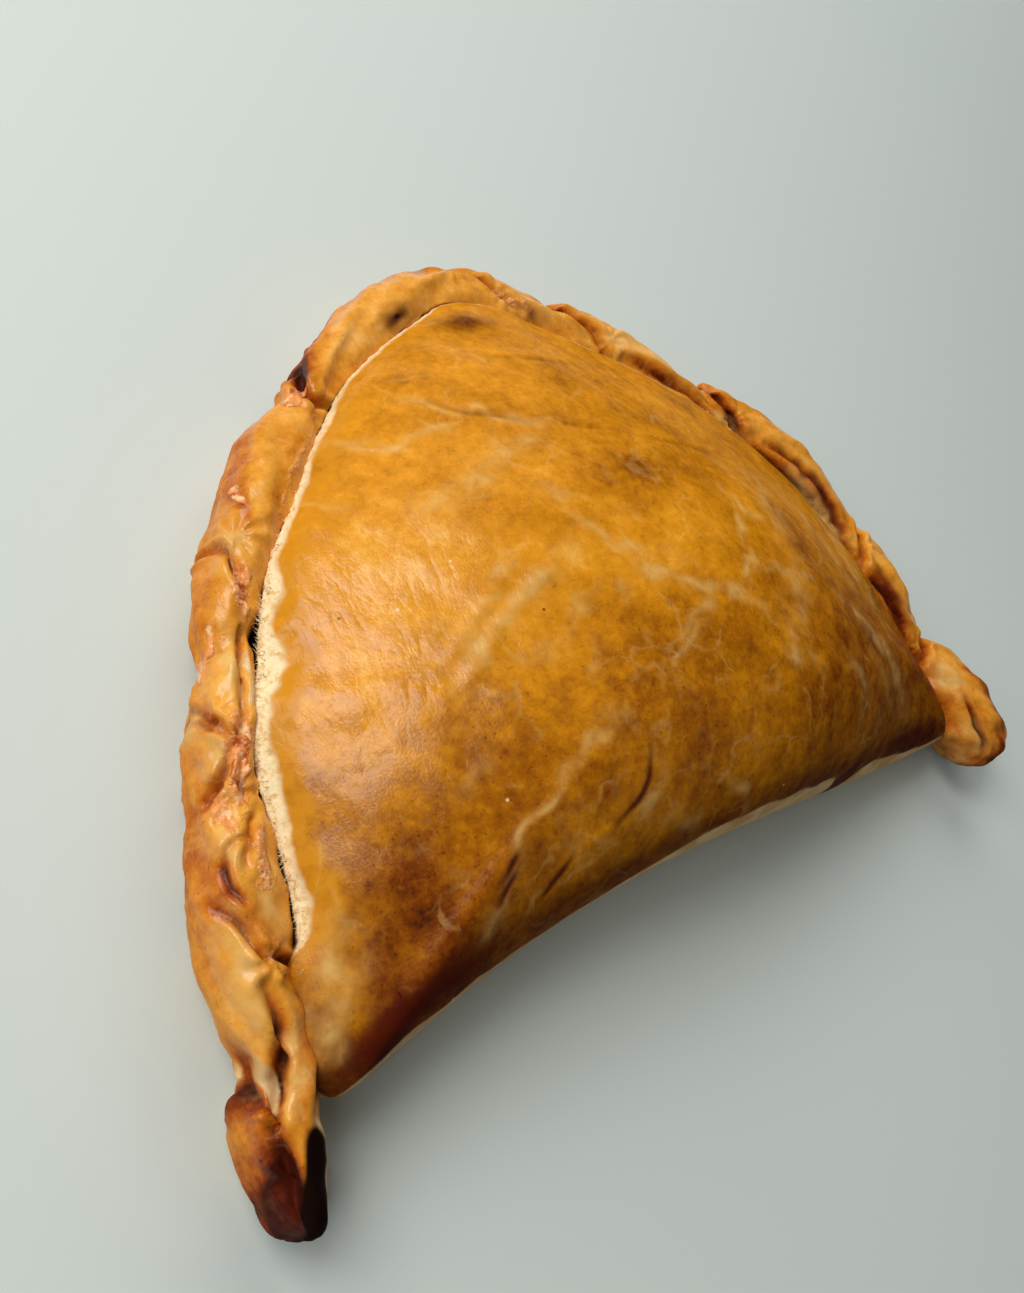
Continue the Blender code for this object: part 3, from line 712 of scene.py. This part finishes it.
    # Relief: creped glaze, pores, flaky juice, and a coarse crumb on torn places. The creping runs
    # in long wrinkles, so its pattern is stretched one way.
    stretched = {"Vector": place, "Rotation": (0, 0, CREPE_TURN), "Scale": (1.0, CREPE_STRETCH, 1.0)}
    long_place = add_node(tree, "Mapping", None, stretched).outputs[0]
    wrinkle = add_node(tree, "TexNoise", {"noise_type": "RIDGED_MULTIFRACTAL"},
                       {"Vector": long_place, "Scale": 1 / CREPE_WIDTH, "Detail": 3.0, "Roughness": 0.5,
                        "Offset": 0.9, "Gain": 1.5}).outputs["Fac"]
    crepe = value("MULTIPLY", wrinkle, value("MULTIPLY_ADD", marked("creping"), -0.20, -0.03))
    crepe = value("MULTIPLY", crepe, ramp(mottle(7.0, 2.0), 0.36, 0.62))
    crepe = value("MULTIPLY_ADD", mottle(0.7, 2.0, long_place), 0.17, crepe)
    relief = value("MULTIPLY_ADD", pores, 0.12, crepe)
    relief = value("MULTIPLY_ADD", value("MULTIPLY", juice, flakes), 1.4, relief)
    relief = value("MULTIPLY_ADD", value("MULTIPLY", tear, mottle(0.5, 2.0)), 0.6, relief)
    bump = add_node(tree, "Bump", None, {"Strength": 0.8, "Distance": RELIEF_HEIGHT * MM, "Height": relief})
    for socket in ("Normal", "Coat Normal"):
        tree.links.new(bump.outputs["Normal"], shader.inputs[socket])
    return material


half_moon.data.materials.append(egg_washed_crust("egg_washed_top_sheet", DOME_BAKE))
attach(half_moon, "root")
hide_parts("crust")

# ---------------------------------------------------------------------------------------------
# The rope edge: the two sheets' rims, twisted by hand into a rope of lobes that taper at both
# ends, each pressed over the one before. It ends in a narrow two-strand tail on the left and a
# fat drop-shaped one on the right. Juice seeped out and caramelised between the lobes.
# ---------------------------------------------------------------------------------------------
ROPE_CREST_HEIGHT = 12.5
ROPE_HALF_HEIGHT = 5.9
ROPE_LIFT_OFF_BASE = 0.6
LOBE_TIP_DROP = 3.2
LOBE_TIP_WIDTH = 0.25  # a lobe's width and height at its pinched tips, as shares of the full ones
LOBE_TIP_HEIGHT = 0.35
LOBE_BLUNTNESS = 0.55
LOBE_TWIST = 2.6  # how far its folds turn from one end to the other, in radians
LOBE_FOLD_DEPTH = 0.080  # as a share of the lobe's own size
LOBE_STATIONS, LOBE_SIDES = 90, 64
ROPE_GRAIN = 0.38  # how finely the lobes are pressed together
PRESSING_SMOOTHS = 3

# One lobe to a row: start and end along the rim, how far out it starts and ends, its half width,
# the place of its fattest point from 0 to 1, how high it sits, and how many folds run along it.
LOBES = (
    (1.2, 15.6, 0.9, 1.8, 2.9, 0.52, -1.4, 5),
    (0.6, 27, 0.7, -2.6, 3.4, 0.38, -1, 6),
    (11.5, 36, -0.2, 2, 4.3, 0.62, 0, 7),
    (21, 50, 1.4, 0, 4.8, 0.42, 0, 7),
    (40.5, 62, 0.6, -0.4, 4.2, 0.4, 0, 7),
    (57, 100, 1.2, -0.4, 4.5, 0.52, 0, 6),
    (89, 149, 0.2, -1, 5, 0.62, 0.3, 6),
    (133, 163, 2.4, -1.4, 4, 0.45, -0.5, 6),
    (152, 191, 2.6, -1.8, 4.6, 0.42, 0, 7),
    (183, 225, 3.8, 1.6, 5.2, 0.52, 0.2, 7),
    (217, 242, 3, -0.2, 5.4, 0.45, 0.2, 6),
    (241, 265.2, 1.2, -0.8, 7.6, 0.6, 1, 6),
)


def lobe_rings(start, end, out_start, out_end, half_width, fattest, lift, folds, seed):
    """Rings of one lobe: a fat strip of dough whose folds deepen towards its pinched ends."""
    at = (1.0 - np.cos(np.linspace(0.0, math.pi, LOBE_STATIONS + 2)[1:-1])) / 2
    skewed = at ** (math.log(0.5) / math.log(fattest))
    fat = (1.0 - (2.0 * skewed - 1.0) ** 2) ** LOBE_BLUNTNESS
    points, outward = along_rim(start + (end - start) * at)
    out = out_start + (out_end - out_start) * smooth_step(at, 0.0, 1.0)
    middle = points + outward * out[:, None]
    tall = ROPE_HALF_HEIGHT * (LOBE_TIP_HEIGHT + (1.0 - LOBE_TIP_HEIGHT) * fat)
    wide = half_width * (LOBE_TIP_WIDTH + (1.0 - LOBE_TIP_WIDTH) * fat)
    crest = ROPE_CREST_HEIGHT + lift - LOBE_TIP_DROP * (1.0 - fat)
    turns = np.linspace(0.0, 2 * math.pi, LOBE_SIDES, endpoint=False)
    draw = np.random.default_rng(seed)
    phases = draw.uniform(0.0, 2 * math.pi, 3)
    rings = []
    for t, centre, side, width, height, top, fatness in zip(at, middle, outward, wide, tall, crest, fat):
        twist = LOBE_TWIST * (t - 0.5)
        pleat = (np.sin(folds * (turns + twist) + phases[0])
                 + 0.6 * np.sin((folds + 3) * (turns + 1.4 * twist) + phases[1])
                 + 0.5 * np.sin(3 * (turns - twist) + phases[2]))
        grow = 1.0 + LOBE_FOLD_DEPTH * pleat * (0.35 + 0.65 * (1.0 - fatness))
        plan = centre + side * (width * grow * np.cos(turns))[:, None]
        up = top - height + height * grow * np.sin(turns)
        rings.append(np.column_stack([plan, np.maximum(up, ROPE_LIFT_OFF_BASE)]))
    return rings


# One crease between the strands to a row: its route by length along the rim and distance out of
# it, half width, depth, and how far the dough swells up on both sides.
ROPE_CREASES = (
    (((11.2, 2.5), (9, 2.3), (5.9, 2.2), (3, 2.2), (0.5, 2)), 0.7, 1.3, 0.3),
    (((13.5, 2.9), (12.6, 2.3), (11.8, 1.9), (10.9, 2.4)), 0.4, 0.9, 0.15),
    (((23.5, 1.4), (21.1, 0.7), (19.3, 0.4), (16.5, 0.6), (13.7, 1.4), (11.2, 2.2)), 0.6, 1.4, 0.35),
    (((21, 5.2), (17.8, 3.6), (16.2, 3.1), (13.4, 2.8)), 0.5, 0.9, 0.25),
    (((23.2, -3.4), (20.4, -3.6), (17.7, -3.7), (15.5, -4), (13.2, -2.9), (10, -1.8)), 0.7, 1.2, 0.2),
    (((32.5, 5), (30, 3.2), (27.8, 2.2), (26.3, 1.3), (25, 0.2)), 0.5, 0.9, 0.3),
    (((26.6, 1.2), (26, -0.6), (25.3, -3.2)), 0.45, 0.8, 0.2),
    (((61.8, -0.1), (57.3, 0), (54.5, 0), (51.2, -0.1)), 0.42, 1.2, 0.15),
    (((55.5, 5.2), (52.1, 3.7), (50.2, 2.4), (48, 1)), 0.42, 0.9, 0.3),
    (((53, 5), (50.2, 3.4), (48.9, 1.7)), 0.35, 0.6, 0.2),
    (((50, 0.6), (46.6, 1.4), (44.3, 2.5), (41.2, 4.4)), 0.45, 0.9, 0.3),
    (((38.2, 0.9), (37.4, 2.6), (35.6, 3.4), (33.5, 3.2), (31.8, 2.2)), 0.4, 0.5, 0.2),
    (((52, -0.2), (48.6, 0.2), (45.3, 0.3), (41.6, 0.1)), 0.45, 0.8, 0.2),
    (((41.2, -0.8), (38.5, 0.4), (35, 1.4)), 0.45, 0.7, 0.2),
    (((72, 5.4), (70.5, 3.2), (68, 1.4), (65.5, -0.6)), 0.55, 0.9, 0.3),
    (((105.5, 4.6), (101, 3), (98, 1.4), (97, -0.6), (98.6, -2.8)), 0.6, 1.3, 0.45),
    (((116, 5.2), (110, 4.2), (104, 3.4)), 0.5, 0.8, 0.2),
    (((134, 4.4), (138.5, 2.6), (141, 0.6), (145.5, -1.4)), 0.85, 1.3, 0.4),
    (((148, 4.6), (155, 3), (160, 0.6), (163.5, -2.4)), 0.6, 1.2, 0.4),
    (((166, -1.4), (172, -1.9), (179, -2), (186, -2.2)), 0.7, 1.3, 0.2),
    (((181, 5.2), (187.5, 2.4), (191, 0.2), (194.5, -2)), 0.65, 1.4, 0.45),
    (((194, -1.2), (200, -1.8), (208, -1.6), (216, -0.8), (222, -1.4)), 0.75, 1.4, 0.2),
    (((213, 7), (218, 4.4), (221.5, 1.4), (224.5, -2.2)), 0.65, 1.4, 0.4),
    (((226, -1.6), (232, -1.6), (238.5, -2.2)), 0.75, 1.4, 0.2),
    (((236, 6.2), (240, 3.2), (242.5, 0.2), (243.5, -3.4)), 0.7, 1.3, 0.4),
    (((252.6, -3), (256, -4.4), (259, -5.3), (261.5, -6.1)), 0.42, 0.9, 0.2),
    (((197, 0.4), (203, 0.9), (210, 0.6), (218, -0.2)), 0.5, 0.9, 0.25),
)

# Where the dough was pinched, folds fan out: length, out, reach, how many folds, and their depth.
PINCHES = (
    (72.5, 2.6, 5, 9, 0.5), (51.5, 2.6, 4, 8, 0.4), (98, 1.2, 4.5, 8, 0.35),
    (25.8, 0.2, 3.2, 7, 0.45), (43, 1, 4, 9, 0.4), (12, 2.3, 3, 6, 0.3),
    (134, 2.6, 5, 8, 0.35), (142, 0, 4, 7, 0.3), (163, 0.4, 4, 8, 0.35),
    (190.5, 0.8, 4.5, 8, 0.4), (222.5, 0.8, 4.5, 8, 0.4), (241.5, -0.5, 5, 8, 0.4),
)

# The crack between the sheet and the rope gapes at some places: length, reach and extra gap.
GAPES = (
    (61, 1.1, 0.45), (64, 3, 0.25), (56.5, 3, 0.5), (46, 1, 0.5), (41.5, 2, 0.7),
    (36, 2.5, 0.4), (30, 3, 0.7), (71, 1.6, 0.2), (77, 2, 0.25), (118.5, 1.6, 0.5),
    (124, 2, 0.6),
)
ROPE_OVERLAP = 0.30  # elsewhere the rope presses this far into the sheet's edge
UNTORN_OVERLAP = 2.0  # and further where the sheet isn't torn
LEAN_HEIGHT, LEAN = 10.5, 0.9  # how high up, and how far, the rope leans over the sheet
# The lobes that bulge outwards: length, reach and how much of the full swell they have.
BULGES = ((205.0, 9.0, 1.0), (229.0, 6.5, 0.8), (88.5, 5.0, 0.7))
FULL_SWELL = 1.2

points, faces = [], []
for number, lobe in enumerate(LOBES):
    lobe_points = with_tips(lobe_rings(*lobe, seed=number))
    faces += ring_faces(LOBE_STATIONS, LOBE_SIDES, sum(len(p) for p in points))
    points.append(lobe_points)
rope = pastry_mesh("rope_edge", np.concatenate(points), faces)
press = rope.modifiers.new("pressed_together", "REMESH")
press.mode = "VOXEL"
press.voxel_size = ROPE_GRAIN * MM
soften = rope.modifiers.new("softened", "SMOOTH")
soften.iterations = PRESSING_SMOOTHS
graph = bpy.context.evaluated_depsgraph_get()
pressed = bpy.data.meshes.new_from_object(rope.evaluated_get(graph))
rope.modifiers.clear()
rope.data = pressed
rope.data.shade_smooth()
rope_points = np.zeros(len(rope.data.vertices) * 3)
rope.data.vertices.foreach_get("co", rope_points)
rope_points = rope_points.reshape(-1, 3) / MM + PLAN_MIDDLE
rope_length, rope_out = nearest_on(RIM, RIM_LENGTHS, rope_points[:, :2])

# The rope leans on the sheet, but what would reach in past the crack is pushed back out to it.
gape = -ROPE_OVERLAP - UNTORN_OVERLAP * (1 - smooth_step(rope_length, 23.0, TORN_FULL))
for middle, reach, extra in GAPES:
    gape += extra * bump_at(rope_length, middle, reach)
keep_out = -sheet_inset(rope_length) + gape
inner = (smooth_step(rope_length, FILLED_FROM, 22) * smooth_step(-rope_length, -236, -226)
         * smooth_step(rope_points[:, 2], 4.5, 6.5))
swelled = LEAN * smooth_step(-rope_out, 1.2, 3.0) * bump_at(rope_points[:, 2], LEAN_HEIGHT, 2.4) * inner
push = np.maximum(keep_out - (rope_out - swelled), 0.0) * inner - swelled
rope_outward = along_rim(rope_length)[1]
rope_points[:, :2] += rope_outward * push[:, None]
rope.data.vertices.foreach_set("co", ((rope_points - PLAN_MIDDLE) * MM).astype(np.float32).ravel())
rope.data.update()
facing = np.zeros(len(rope_points) * 3, np.float32)
rope.data.vertex_normals.foreach_get("vector", facing)
facing = facing.reshape(-1, 3)
on_rope = np.column_stack([rope_length, rope_out + push])
crease, rope_crease = crease_relief(on_rope, ROPE_CREASES, True)
# Humps, lumps and fine wrinkles along the rope, then the fans of folds, all in millimetres.
wrinkles = rolling(on_rope * (0.35, 1.0), 1.1, 33, 30) * (0.6 + 0.4 * rolling(rope_points, 5.0, 34))
humps, lumps = rolling(rope_points, 3.0, 31), rolling(rope_points, 1.3, 32, 30)
relief = crease + 0.16 * humps + 0.05 * lumps + 0.11 * wrinkles
for number, (length, out, reach, folds, depth) in enumerate(PINCHES):
    ahead, aside = on_rope[:, 0] - length, on_rope[:, 1] - out
    gap = np.hypot(ahead, aside)
    fan = 0.5 + 0.5 * np.cos(folds * np.arctan2(aside, ahead) + 2.0 * gap / reach + 1.7 * number)
    relief -= depth * fan * np.exp(-((gap / reach) ** 2)) * (1.0 - np.exp(-((gap / 0.7) ** 2)))
relief *= smooth_step(rope_points[:, 2], 0.7, 2.5)  # the base stays flat
relief *= 1.0 - 0.6 * smooth_step(on_rope[:, 1], 2.8, 4.4) * smooth_step(-on_rope[:, 0], -62.0, -54.0)
bulge = sum(share * bump_at(rope_length, middle, reach) for middle, reach, share in BULGES)
rope_points[:, :2] += rope_outward * (FULL_SWELL * bulge * smooth_step(rope_out, -1.0, 3.0))[:, None]
rope_points += facing * relief[:, None]
rope.data.vertices.foreach_set("co", packed(rope_points).astype(np.float32).ravel())
rope.data.update()

# Marks along the rope, one stroke to a row: what it is, its route by length along the rim and
# distance out of it, half width, and how strong it is. The maroon strokes, and the browning strokes
# along the creases and grooves between the lobes, are partly the dough's own caramel colour and
# partly painted shade in those creases and grooves.
ROPE_MARKS = (
    ("browning_and_shade", ((48, 4.8), (40, 5), (32, 4.8), (24, 4.8)), 1.3, 0.12),
    ("browning_and_shade", ((37, 4.2), (33, 3.2), (30, 1.6), (27, 0.2)), 1.4, 0.34),
    ("browning_and_shade", ((28, 0), (24, -2.4), (19, -3.2), (14, -3.4)), 0.9, 0.45),
    ("browning_and_shade", ((79, 3.4), (76, 2), (73.5, 1.6)), 0.8, 0.34),
    ("browning_and_shade", ((92, 3.8), (82, 3.6), (72, 3.8)), 1.2, 0.16),
    ("browning_and_shade", ((96, -0.6), (86, -1), (76, -0.8)), 1, 0.14),
    ("browning_and_shade", ((66, 4.4), (58, 4.2), (52, 4.6)), 0.9, 0.2),
    ("browning_and_shade", ((16, 4), (14, 3.8), (12.3, 3.6)), 1, 0.5),
    ("browning_and_shade", ((11, 2.4), (6, 2.2), (0, 1.4)), 2.8, 0.22),
    ("browning_and_shade", ((5, 1.6), (1, 1.6), (-2, 0.8)), 2.2, 0.4),
    ("browning_and_shade", ((160, 1), (168, 0.8), (176, 0.4)), 2.2, -0.24),
    ("browning_and_shade", ((102, 0.2), (106, 0.2), (111, 0.6)), 1.6, -0.16),
    ("browning_and_shade", ((249, 3), (255, 3.4), (261, 2.4)), 1.7, 0.34),
    ("burnt_and_crack_shade", ((5, 0.3), (2, 0.7), (-0.5, 0.9)), 1.4, 1.1),
    ("browning_and_shade", ((10, 2.6), (5, 2.5), (-1, 1.6)), 1.3, 0.6),
    ("browning_and_shade", ((22, -1.8), (14, -1), (7, -0.4)), 0.9, 0.22),
    ("browning_and_shade", ((24, 1.4), (19, 0.4), (14, 1.4), (11, 2.2)), 0.8, 0.3),
    ("browning_and_shade", ((112, 2.6), (104, 3), (99, 3)), 1, 0.22),
    ("browning_and_shade", ((128, 3.6), (134, 3), (139, 1.6)), 1, 0.24),
    ("browning_and_shade", ((258, 2.4), (261.5, 0.4), (264, -3), (264, -6)), 2.2, 0.45),
    ("browning_and_shade", ((249, 3.4), (255, 3), (261, 1.6)), 1.2, 0.16),
    ("browning_and_shade", ((196, -0.6), (204, -0.8), (212, 0), (218, 0.6)), 1.2, 0.3),
    ("browning_and_shade", ((224, 0), (230, -0.8), (236, -1.4)), 1.2, 0.34),
    ("browning_and_shade", ((166, -0.6), (174, -0.8), (182, -0.6)), 0.9, 0.22),
    ("browning_and_shade", ((186, 2.4), (190, 1), (193, 0)), 0.9, 0.25),
    ("maroon_and_crease_shade", ((197, 0.4), (203, 0.9), (210, 0.6), (218, -0.2)), 0.6, 0.95),
    ("maroon_and_crease_shade", ((168, -2), (178, -2.4), (186, -2.4)), 0.6, 0.5),
    ("maroon_and_crease_shade", ((225, 0.2), (230, -0.4), (237, -1.2)), 0.9, 0.9),
    ("maroon_and_crease_shade", ((142, 0.6), (146, -0.8), (152, -1.8)), 0.7, 0.5),
    ("browning_and_shade", ((104, 3), (100, 1.8), (97, 0.2)), 1.3, 0.4),
    ("maroon_and_crease_shade", ((101.5, 2.4), (99.8, 1.8), (98.6, 1)), 0.8, 0.5),
    ("maroon_and_crease_shade", ((121, -2.6), (118, -2.2), (115, -2.2)), 1.2, 1.1),
    ("juice", ((98.5, 1), (96, 1.3), (93.5, 1.8)), 1, 0.95),
    ("maroon_and_crease_shade", ((24, -0.4), (20, -3), (16, -3.6)), 0.4, 0.45),
    ("maroon_and_crease_shade", ((10, 2.5), (7, 2.5), (3, 2.4), (-1, 1.5)), 0.9, 0.95),
    ("maroon_and_crease_shade", ((11.6, 2.6), (10.2, 2.6)), 0.4, 0.9),
    ("maroon_and_crease_shade", ((253, -3.3), (256, -4.4), (259, -5.3), (261, -6)), 0.55, 1),
    ("juice", ((98, -1.6), (86, -2), (74, -2)), 0.6, 0.5),
    ("juice", ((80, 3.6), (78, 3), (76.5, 2.2)), 0.7, 0.75),
    ("juice", ((70, 1.2), (66, 0.6), (62.5, -0.4)), 1.1, 0.8),
    ("juice", ((63, 3), (59, 3.2), (55, 3)), 0.7, 0.6),
    ("juice", ((52, 0.4), (46, 0.6), (41, 1)), 1.5, 0.95),
    ("juice", ((44, 2.6), (41, 2.4), (38, 2)), 1, 0.7),
    ("juice", ((40, -0.9), (36, -0.5), (32.5, -0.4)), 1.2, 0.85),
    ("juice", ((27.5, 1), (25.5, 0), (24, -1.4)), 0.8, 0.55),
    ("juice", ((140, 1.4), (145, 0), (149, -1)), 0.8, 0.5),
    ("juice", ((190, 1.8), (194, 0.2)), 0.8, 0.35),
    ("pale", ((74.5, 2.8), (72, 2.6), (70, 3)), 1.1, 0.75),
    ("pale", ((59, 0.8), (56, 0.8), (53, 0.5)), 1.3, 1),
    ("pale", ((54, 4), (51, 4.4), (49.5, 3.6)), 0.7, 0.7),
    ("pale", ((49.5, 2.4), (47.5, 2.7), (45.5, 2.8)), 1, 0.85),
    ("pale", ((34, -0.8), (31, -0.5), (28, -0.6)), 1.2, 0.85),
    # A painted highlight on the big left lobe, over its pale flaky glaze.
    ("pale", ((30, 3.6), (27, 3.4), (23, 2.8), (19, 2.2)), 1.2, 0.8),
    ("pale", ((40, 3.2), (38, 2.6), (35, 1.6)), 1, 0.8),
    # A painted highlight along the second strand, over its paler dough.
    ("pale", ((22, -1.2), (17, -1), (12, 0.2)), 0.8, 0.7),
    ("pale", ((152, -0.6), (148, -0.6), (144, -1.8)), 0.8, 0.35),
    ("pale", ((186, -0.9), (189, -0.8), (192, -0.6)), 1.1, 1.2),
    ("pale", ((203, -0.4), (208, -0.8), (213, -1.2), (220, -1.6)), 0.8, 1.2),
    # A painted highlight on the right tail's top, over its flaky glaze.
    ("pale", ((245.6, -1.2), (248.4, -2), (251.2, -2.5)), 1.5, 1.3),
    ("pale", ((255, -5.6), (259, -6.4), (262, -6.2)), 1.6, 0.55),
    ("bare", ((60, -1), (56, -1.2), (52, -1.2)), 0.6, 0.9),
    ("bare", ((18, 2.7), (15.4, 2), (12, 1.4)), 0.65, 1.1),
    ("bare", ((11.5, -2), (9.5, -2), (8, -1.8)), 0.7, 0.9),
    ("burnt_and_crack_shade", ((10.4, -1.5), (7.5, -0.8), (5, 0), (1.5, 1.2)), 1.7, 1.35),
    ("burnt_and_crack_shade", ((4, 1), (1, 1.4)), 1, 0.7),
    ("burnt_and_crack_shade", ((119, -2.5), (117, -2.4)), 0.6, 0.7),
)
# A torn pocket, the matt side of the right tail, and two flaky places: route and half width.
TORN_POCKET = (((60, -1), (56, -1.2), (52, -1.2)), 0.6)
MATT_TAIL = (((252, -5.4), (258, -6.4), (264, -5.6)), 2.4)
FLAKY_LEFT = (((32, 3.6), (26, 3), (18, 1.8)), 1.8)
FLAKY_RIGHT = (((246, -1.4), (252, -2)), 1.6)
ROPE_BAKE = ("#F2B868", "#E8A03A", "#D58620", "#B86010", "#823406", "#3A1206")
height, nothing = rope_points[:, 2], 0 * rope_length
right_half = smooth_step(rope_length, 146.0, 196.0)
# The rope's side down in the crack is painted dark: partly the dark filling, partly painted shade.
crack_wall_shade = (inner * smooth_step(push + swelled, 0.1, 0.6) * smooth_step(-height, -10.0, -8.0)
              * smooth_step(rope_length, TORN_FROM, TORN_FULL))
# The rope is palest on its crest, partly from baking and partly as a painted highlight where the
# light falls, and painted shade darkens its creases. On the right it baked a little browner, and
# painted shade darkens its inner side, low down, and its creases there in maroon.
browner_and_shaded_right = (0.04 + 0.18 * smooth_step(-on_rope[:, 1], 0.6, 2.6)
                 + 0.16 * smooth_step(-height, -9.0, -5.0))
marks = {"browning_and_shade": (0.37 + 0.42 * rope_crease - 0.15 * smooth_step(height, 9.5, 12.5)
                      + right_half * browner_and_shaded_right),
         "pale": nothing, "bare": smooth_step(-height, -3.0, -1.0), "juice": nothing, "gold": nothing,
         "maroon_and_crease_shade": 0.35 * rope_crease * right_half, "burnt_and_crack_shade": crack_wall_shade, "creping": 0.30 + nothing}
for number, (what, points, half_width, strength) in enumerate(ROPE_MARKS):
    cover = strength * stroke(on_rope, points, half_width, taper=0.4, wander=0.35, seed=120 + number)[0]
    marks[what] = marks[what] + cover if what == "browning_and_shade" else np.maximum(marks[what], cover)
marks["tear"] = 0.8 * stroke(on_rope, *TORN_POCKET)[0]
flaky = np.maximum(stroke(on_rope, *FLAKY_LEFT)[0], stroke(on_rope, *FLAKY_RIGHT)[0])
marks["creping"] += 0.9 * flaky
marks["gloss"] = ((0.95 - 0.35 * right_half - 0.8 * stroke(on_rope, *MATT_TAIL)[0] + 0.5 * flaky
                   - 0.5 * smooth_step(marks["browning_and_shade"], 0.45, 0.85))
                  * (0.25 + 0.75 * smooth_step(height, 6.5, 10.5)))
keep_marks(rope, marks)
rope.data.materials.append(egg_washed_crust("egg_washed_rope", ROPE_BAKE))
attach(rope, "root")
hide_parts("crust")

# ---------------------------------------------------------------------------------------------
# The table: a plain pale surface that fills the view. It is painted smooth and matt, and has a
# faint grey-green tint that clouds a little.
# ---------------------------------------------------------------------------------------------
TABLE_SIDE = 3.0  # in metres
CLOUD_SCALE = 6.0  # clouds of tint about 170 mm wide
TABLE_TINTS = ("#D0DAD5", "#D5DDD8")
TABLE_ROUGHNESS, TABLE_SPECULAR = 0.6, 0.3
table_mesh = bpy.data.meshes.new("table")
half = TABLE_SIDE / 2
table_mesh.from_pydata([(-half, -half, 0), (half, -half, 0), (half, half, 0), (-half, half, 0)], [],
                       [(0, 1, 2, 3)])
table = bpy.data.objects.new("table", table_mesh)
bpy.context.scene.collection.objects.link(table)
matt = bpy.data.materials.new("matt_table")
matt.use_nodes = True
matt_shader = matt.node_tree.nodes["Principled BSDF"]
table_place = add_node(matt.node_tree, "TexCoord").outputs["Object"]
cloud = add_node(matt.node_tree, "TexNoise", None,
                 {"Vector": table_place, "Scale": CLOUD_SCALE, "Detail": 2.0})
tint = add_node(matt.node_tree, "Mix", {"data_type": "RGBA"},
                {0: cloud.outputs["Fac"], 6: linear(TABLE_TINTS[0]), 7: linear(TABLE_TINTS[1])})
matt.node_tree.links.new(tint.outputs[2], matt_shader.inputs["Base Color"])
matt_shader.inputs["Roughness"].default_value = TABLE_ROUGHNESS
matt_shader.inputs["Specular IOR Level"].default_value = TABLE_SPECULAR
table_mesh.materials.append(matt)

# ---------------------------------------------------------------------------------------------
# Light: a window behind the rope's left side, softer light from the left wall and from far behind
# on the right, and a dim room. Places and sizes in metres, power in watts.
# ---------------------------------------------------------------------------------------------
DAYLIGHT, PALE_DAYLIGHT = (1.0, 0.985, 0.96), (1.0, 0.99, 0.98)
ROOM_COLOUR, ROOM_STRENGTH = "#ECEFEE", 0.09
# Name, place, aim, width, height, power, colour, and whether the glaze mirrors it. The window does,
# and the others stand for light spread by the walls, with no edge to mirror.
LIGHTS = (
    ("window", (-0.27, 0.31, 0.42), (-0.04, 0, 0.01), 0.26, 0.38, 1.75, DAYLIGHT, True),
    ("side", (-0.5, 0.1, 0.4), (0, 0, 0), 0.5, 0.4, 1.8, DAYLIGHT, False),
    ("back", (0.3, 0.6, 0.4), (0.05, 0.03, 0), 0.6, 0.5, 3, PALE_DAYLIGHT, False),
)
for name, place, aim, width, height, power, colour, mirrored in LIGHTS:
    lamp = bpy.data.lights.new(name, "AREA")
    lamp.shape, lamp.size, lamp.size_y = "RECTANGLE", width, height
    lamp.energy, lamp.color = power, colour
    light = bpy.data.objects.new(name, lamp)
    light.location = place
    light.rotation_euler = (Vector(aim) - Vector(place)).to_track_quat("-Z", "Y").to_euler()
    light.visible_glossy = mirrored
    bpy.context.scene.collection.objects.link(light)
world = bpy.data.worlds.new("room")
world.use_nodes = True
background = world.node_tree.nodes["Background"]
background.inputs["Color"].default_value = linear(ROOM_COLOUR)
background.inputs["Strength"].default_value = ROOM_STRENGTH
bpy.context.scene.world = world
bpy.context.scene.view_settings.view_transform = "Standard"

# ---------------------------------------------------------------------------------------------
# The camera: close to the pastry, from the left above the rope, and rolled, so that the rope runs
# up the left side of the picture. In millimetres, and the roll in degrees.
# ---------------------------------------------------------------------------------------------
CAMERA_PLACE, CAMERA_AIM = (-112.45, -30.098, 116.559), (-20.17, -5.302, 8.25)
CAMERA_ROLL = 53.694
SENSOR_WIDTH, FOCAL_LENGTH = 36.0, 30.63
NEAREST_SEEN = 5.0
camera = bpy.data.objects.new("camera", bpy.data.cameras.new("camera"))
camera.data.sensor_width = SENSOR_WIDTH
camera.data.lens = FOCAL_LENGTH
camera.data.clip_start = NEAREST_SEEN * MM
camera.location = Vector(CAMERA_PLACE) * MM
gaze = Vector(CAMERA_AIM) * MM - camera.location
look = gaze.to_track_quat("-Z", "Y").to_matrix().to_4x4()
camera.rotation_euler = (look @ Matrix.Rotation(math.radians(CAMERA_ROLL), 4, "Z")).to_euler()
bpy.context.scene.collection.objects.link(camera)
bpy.context.scene.camera = camera
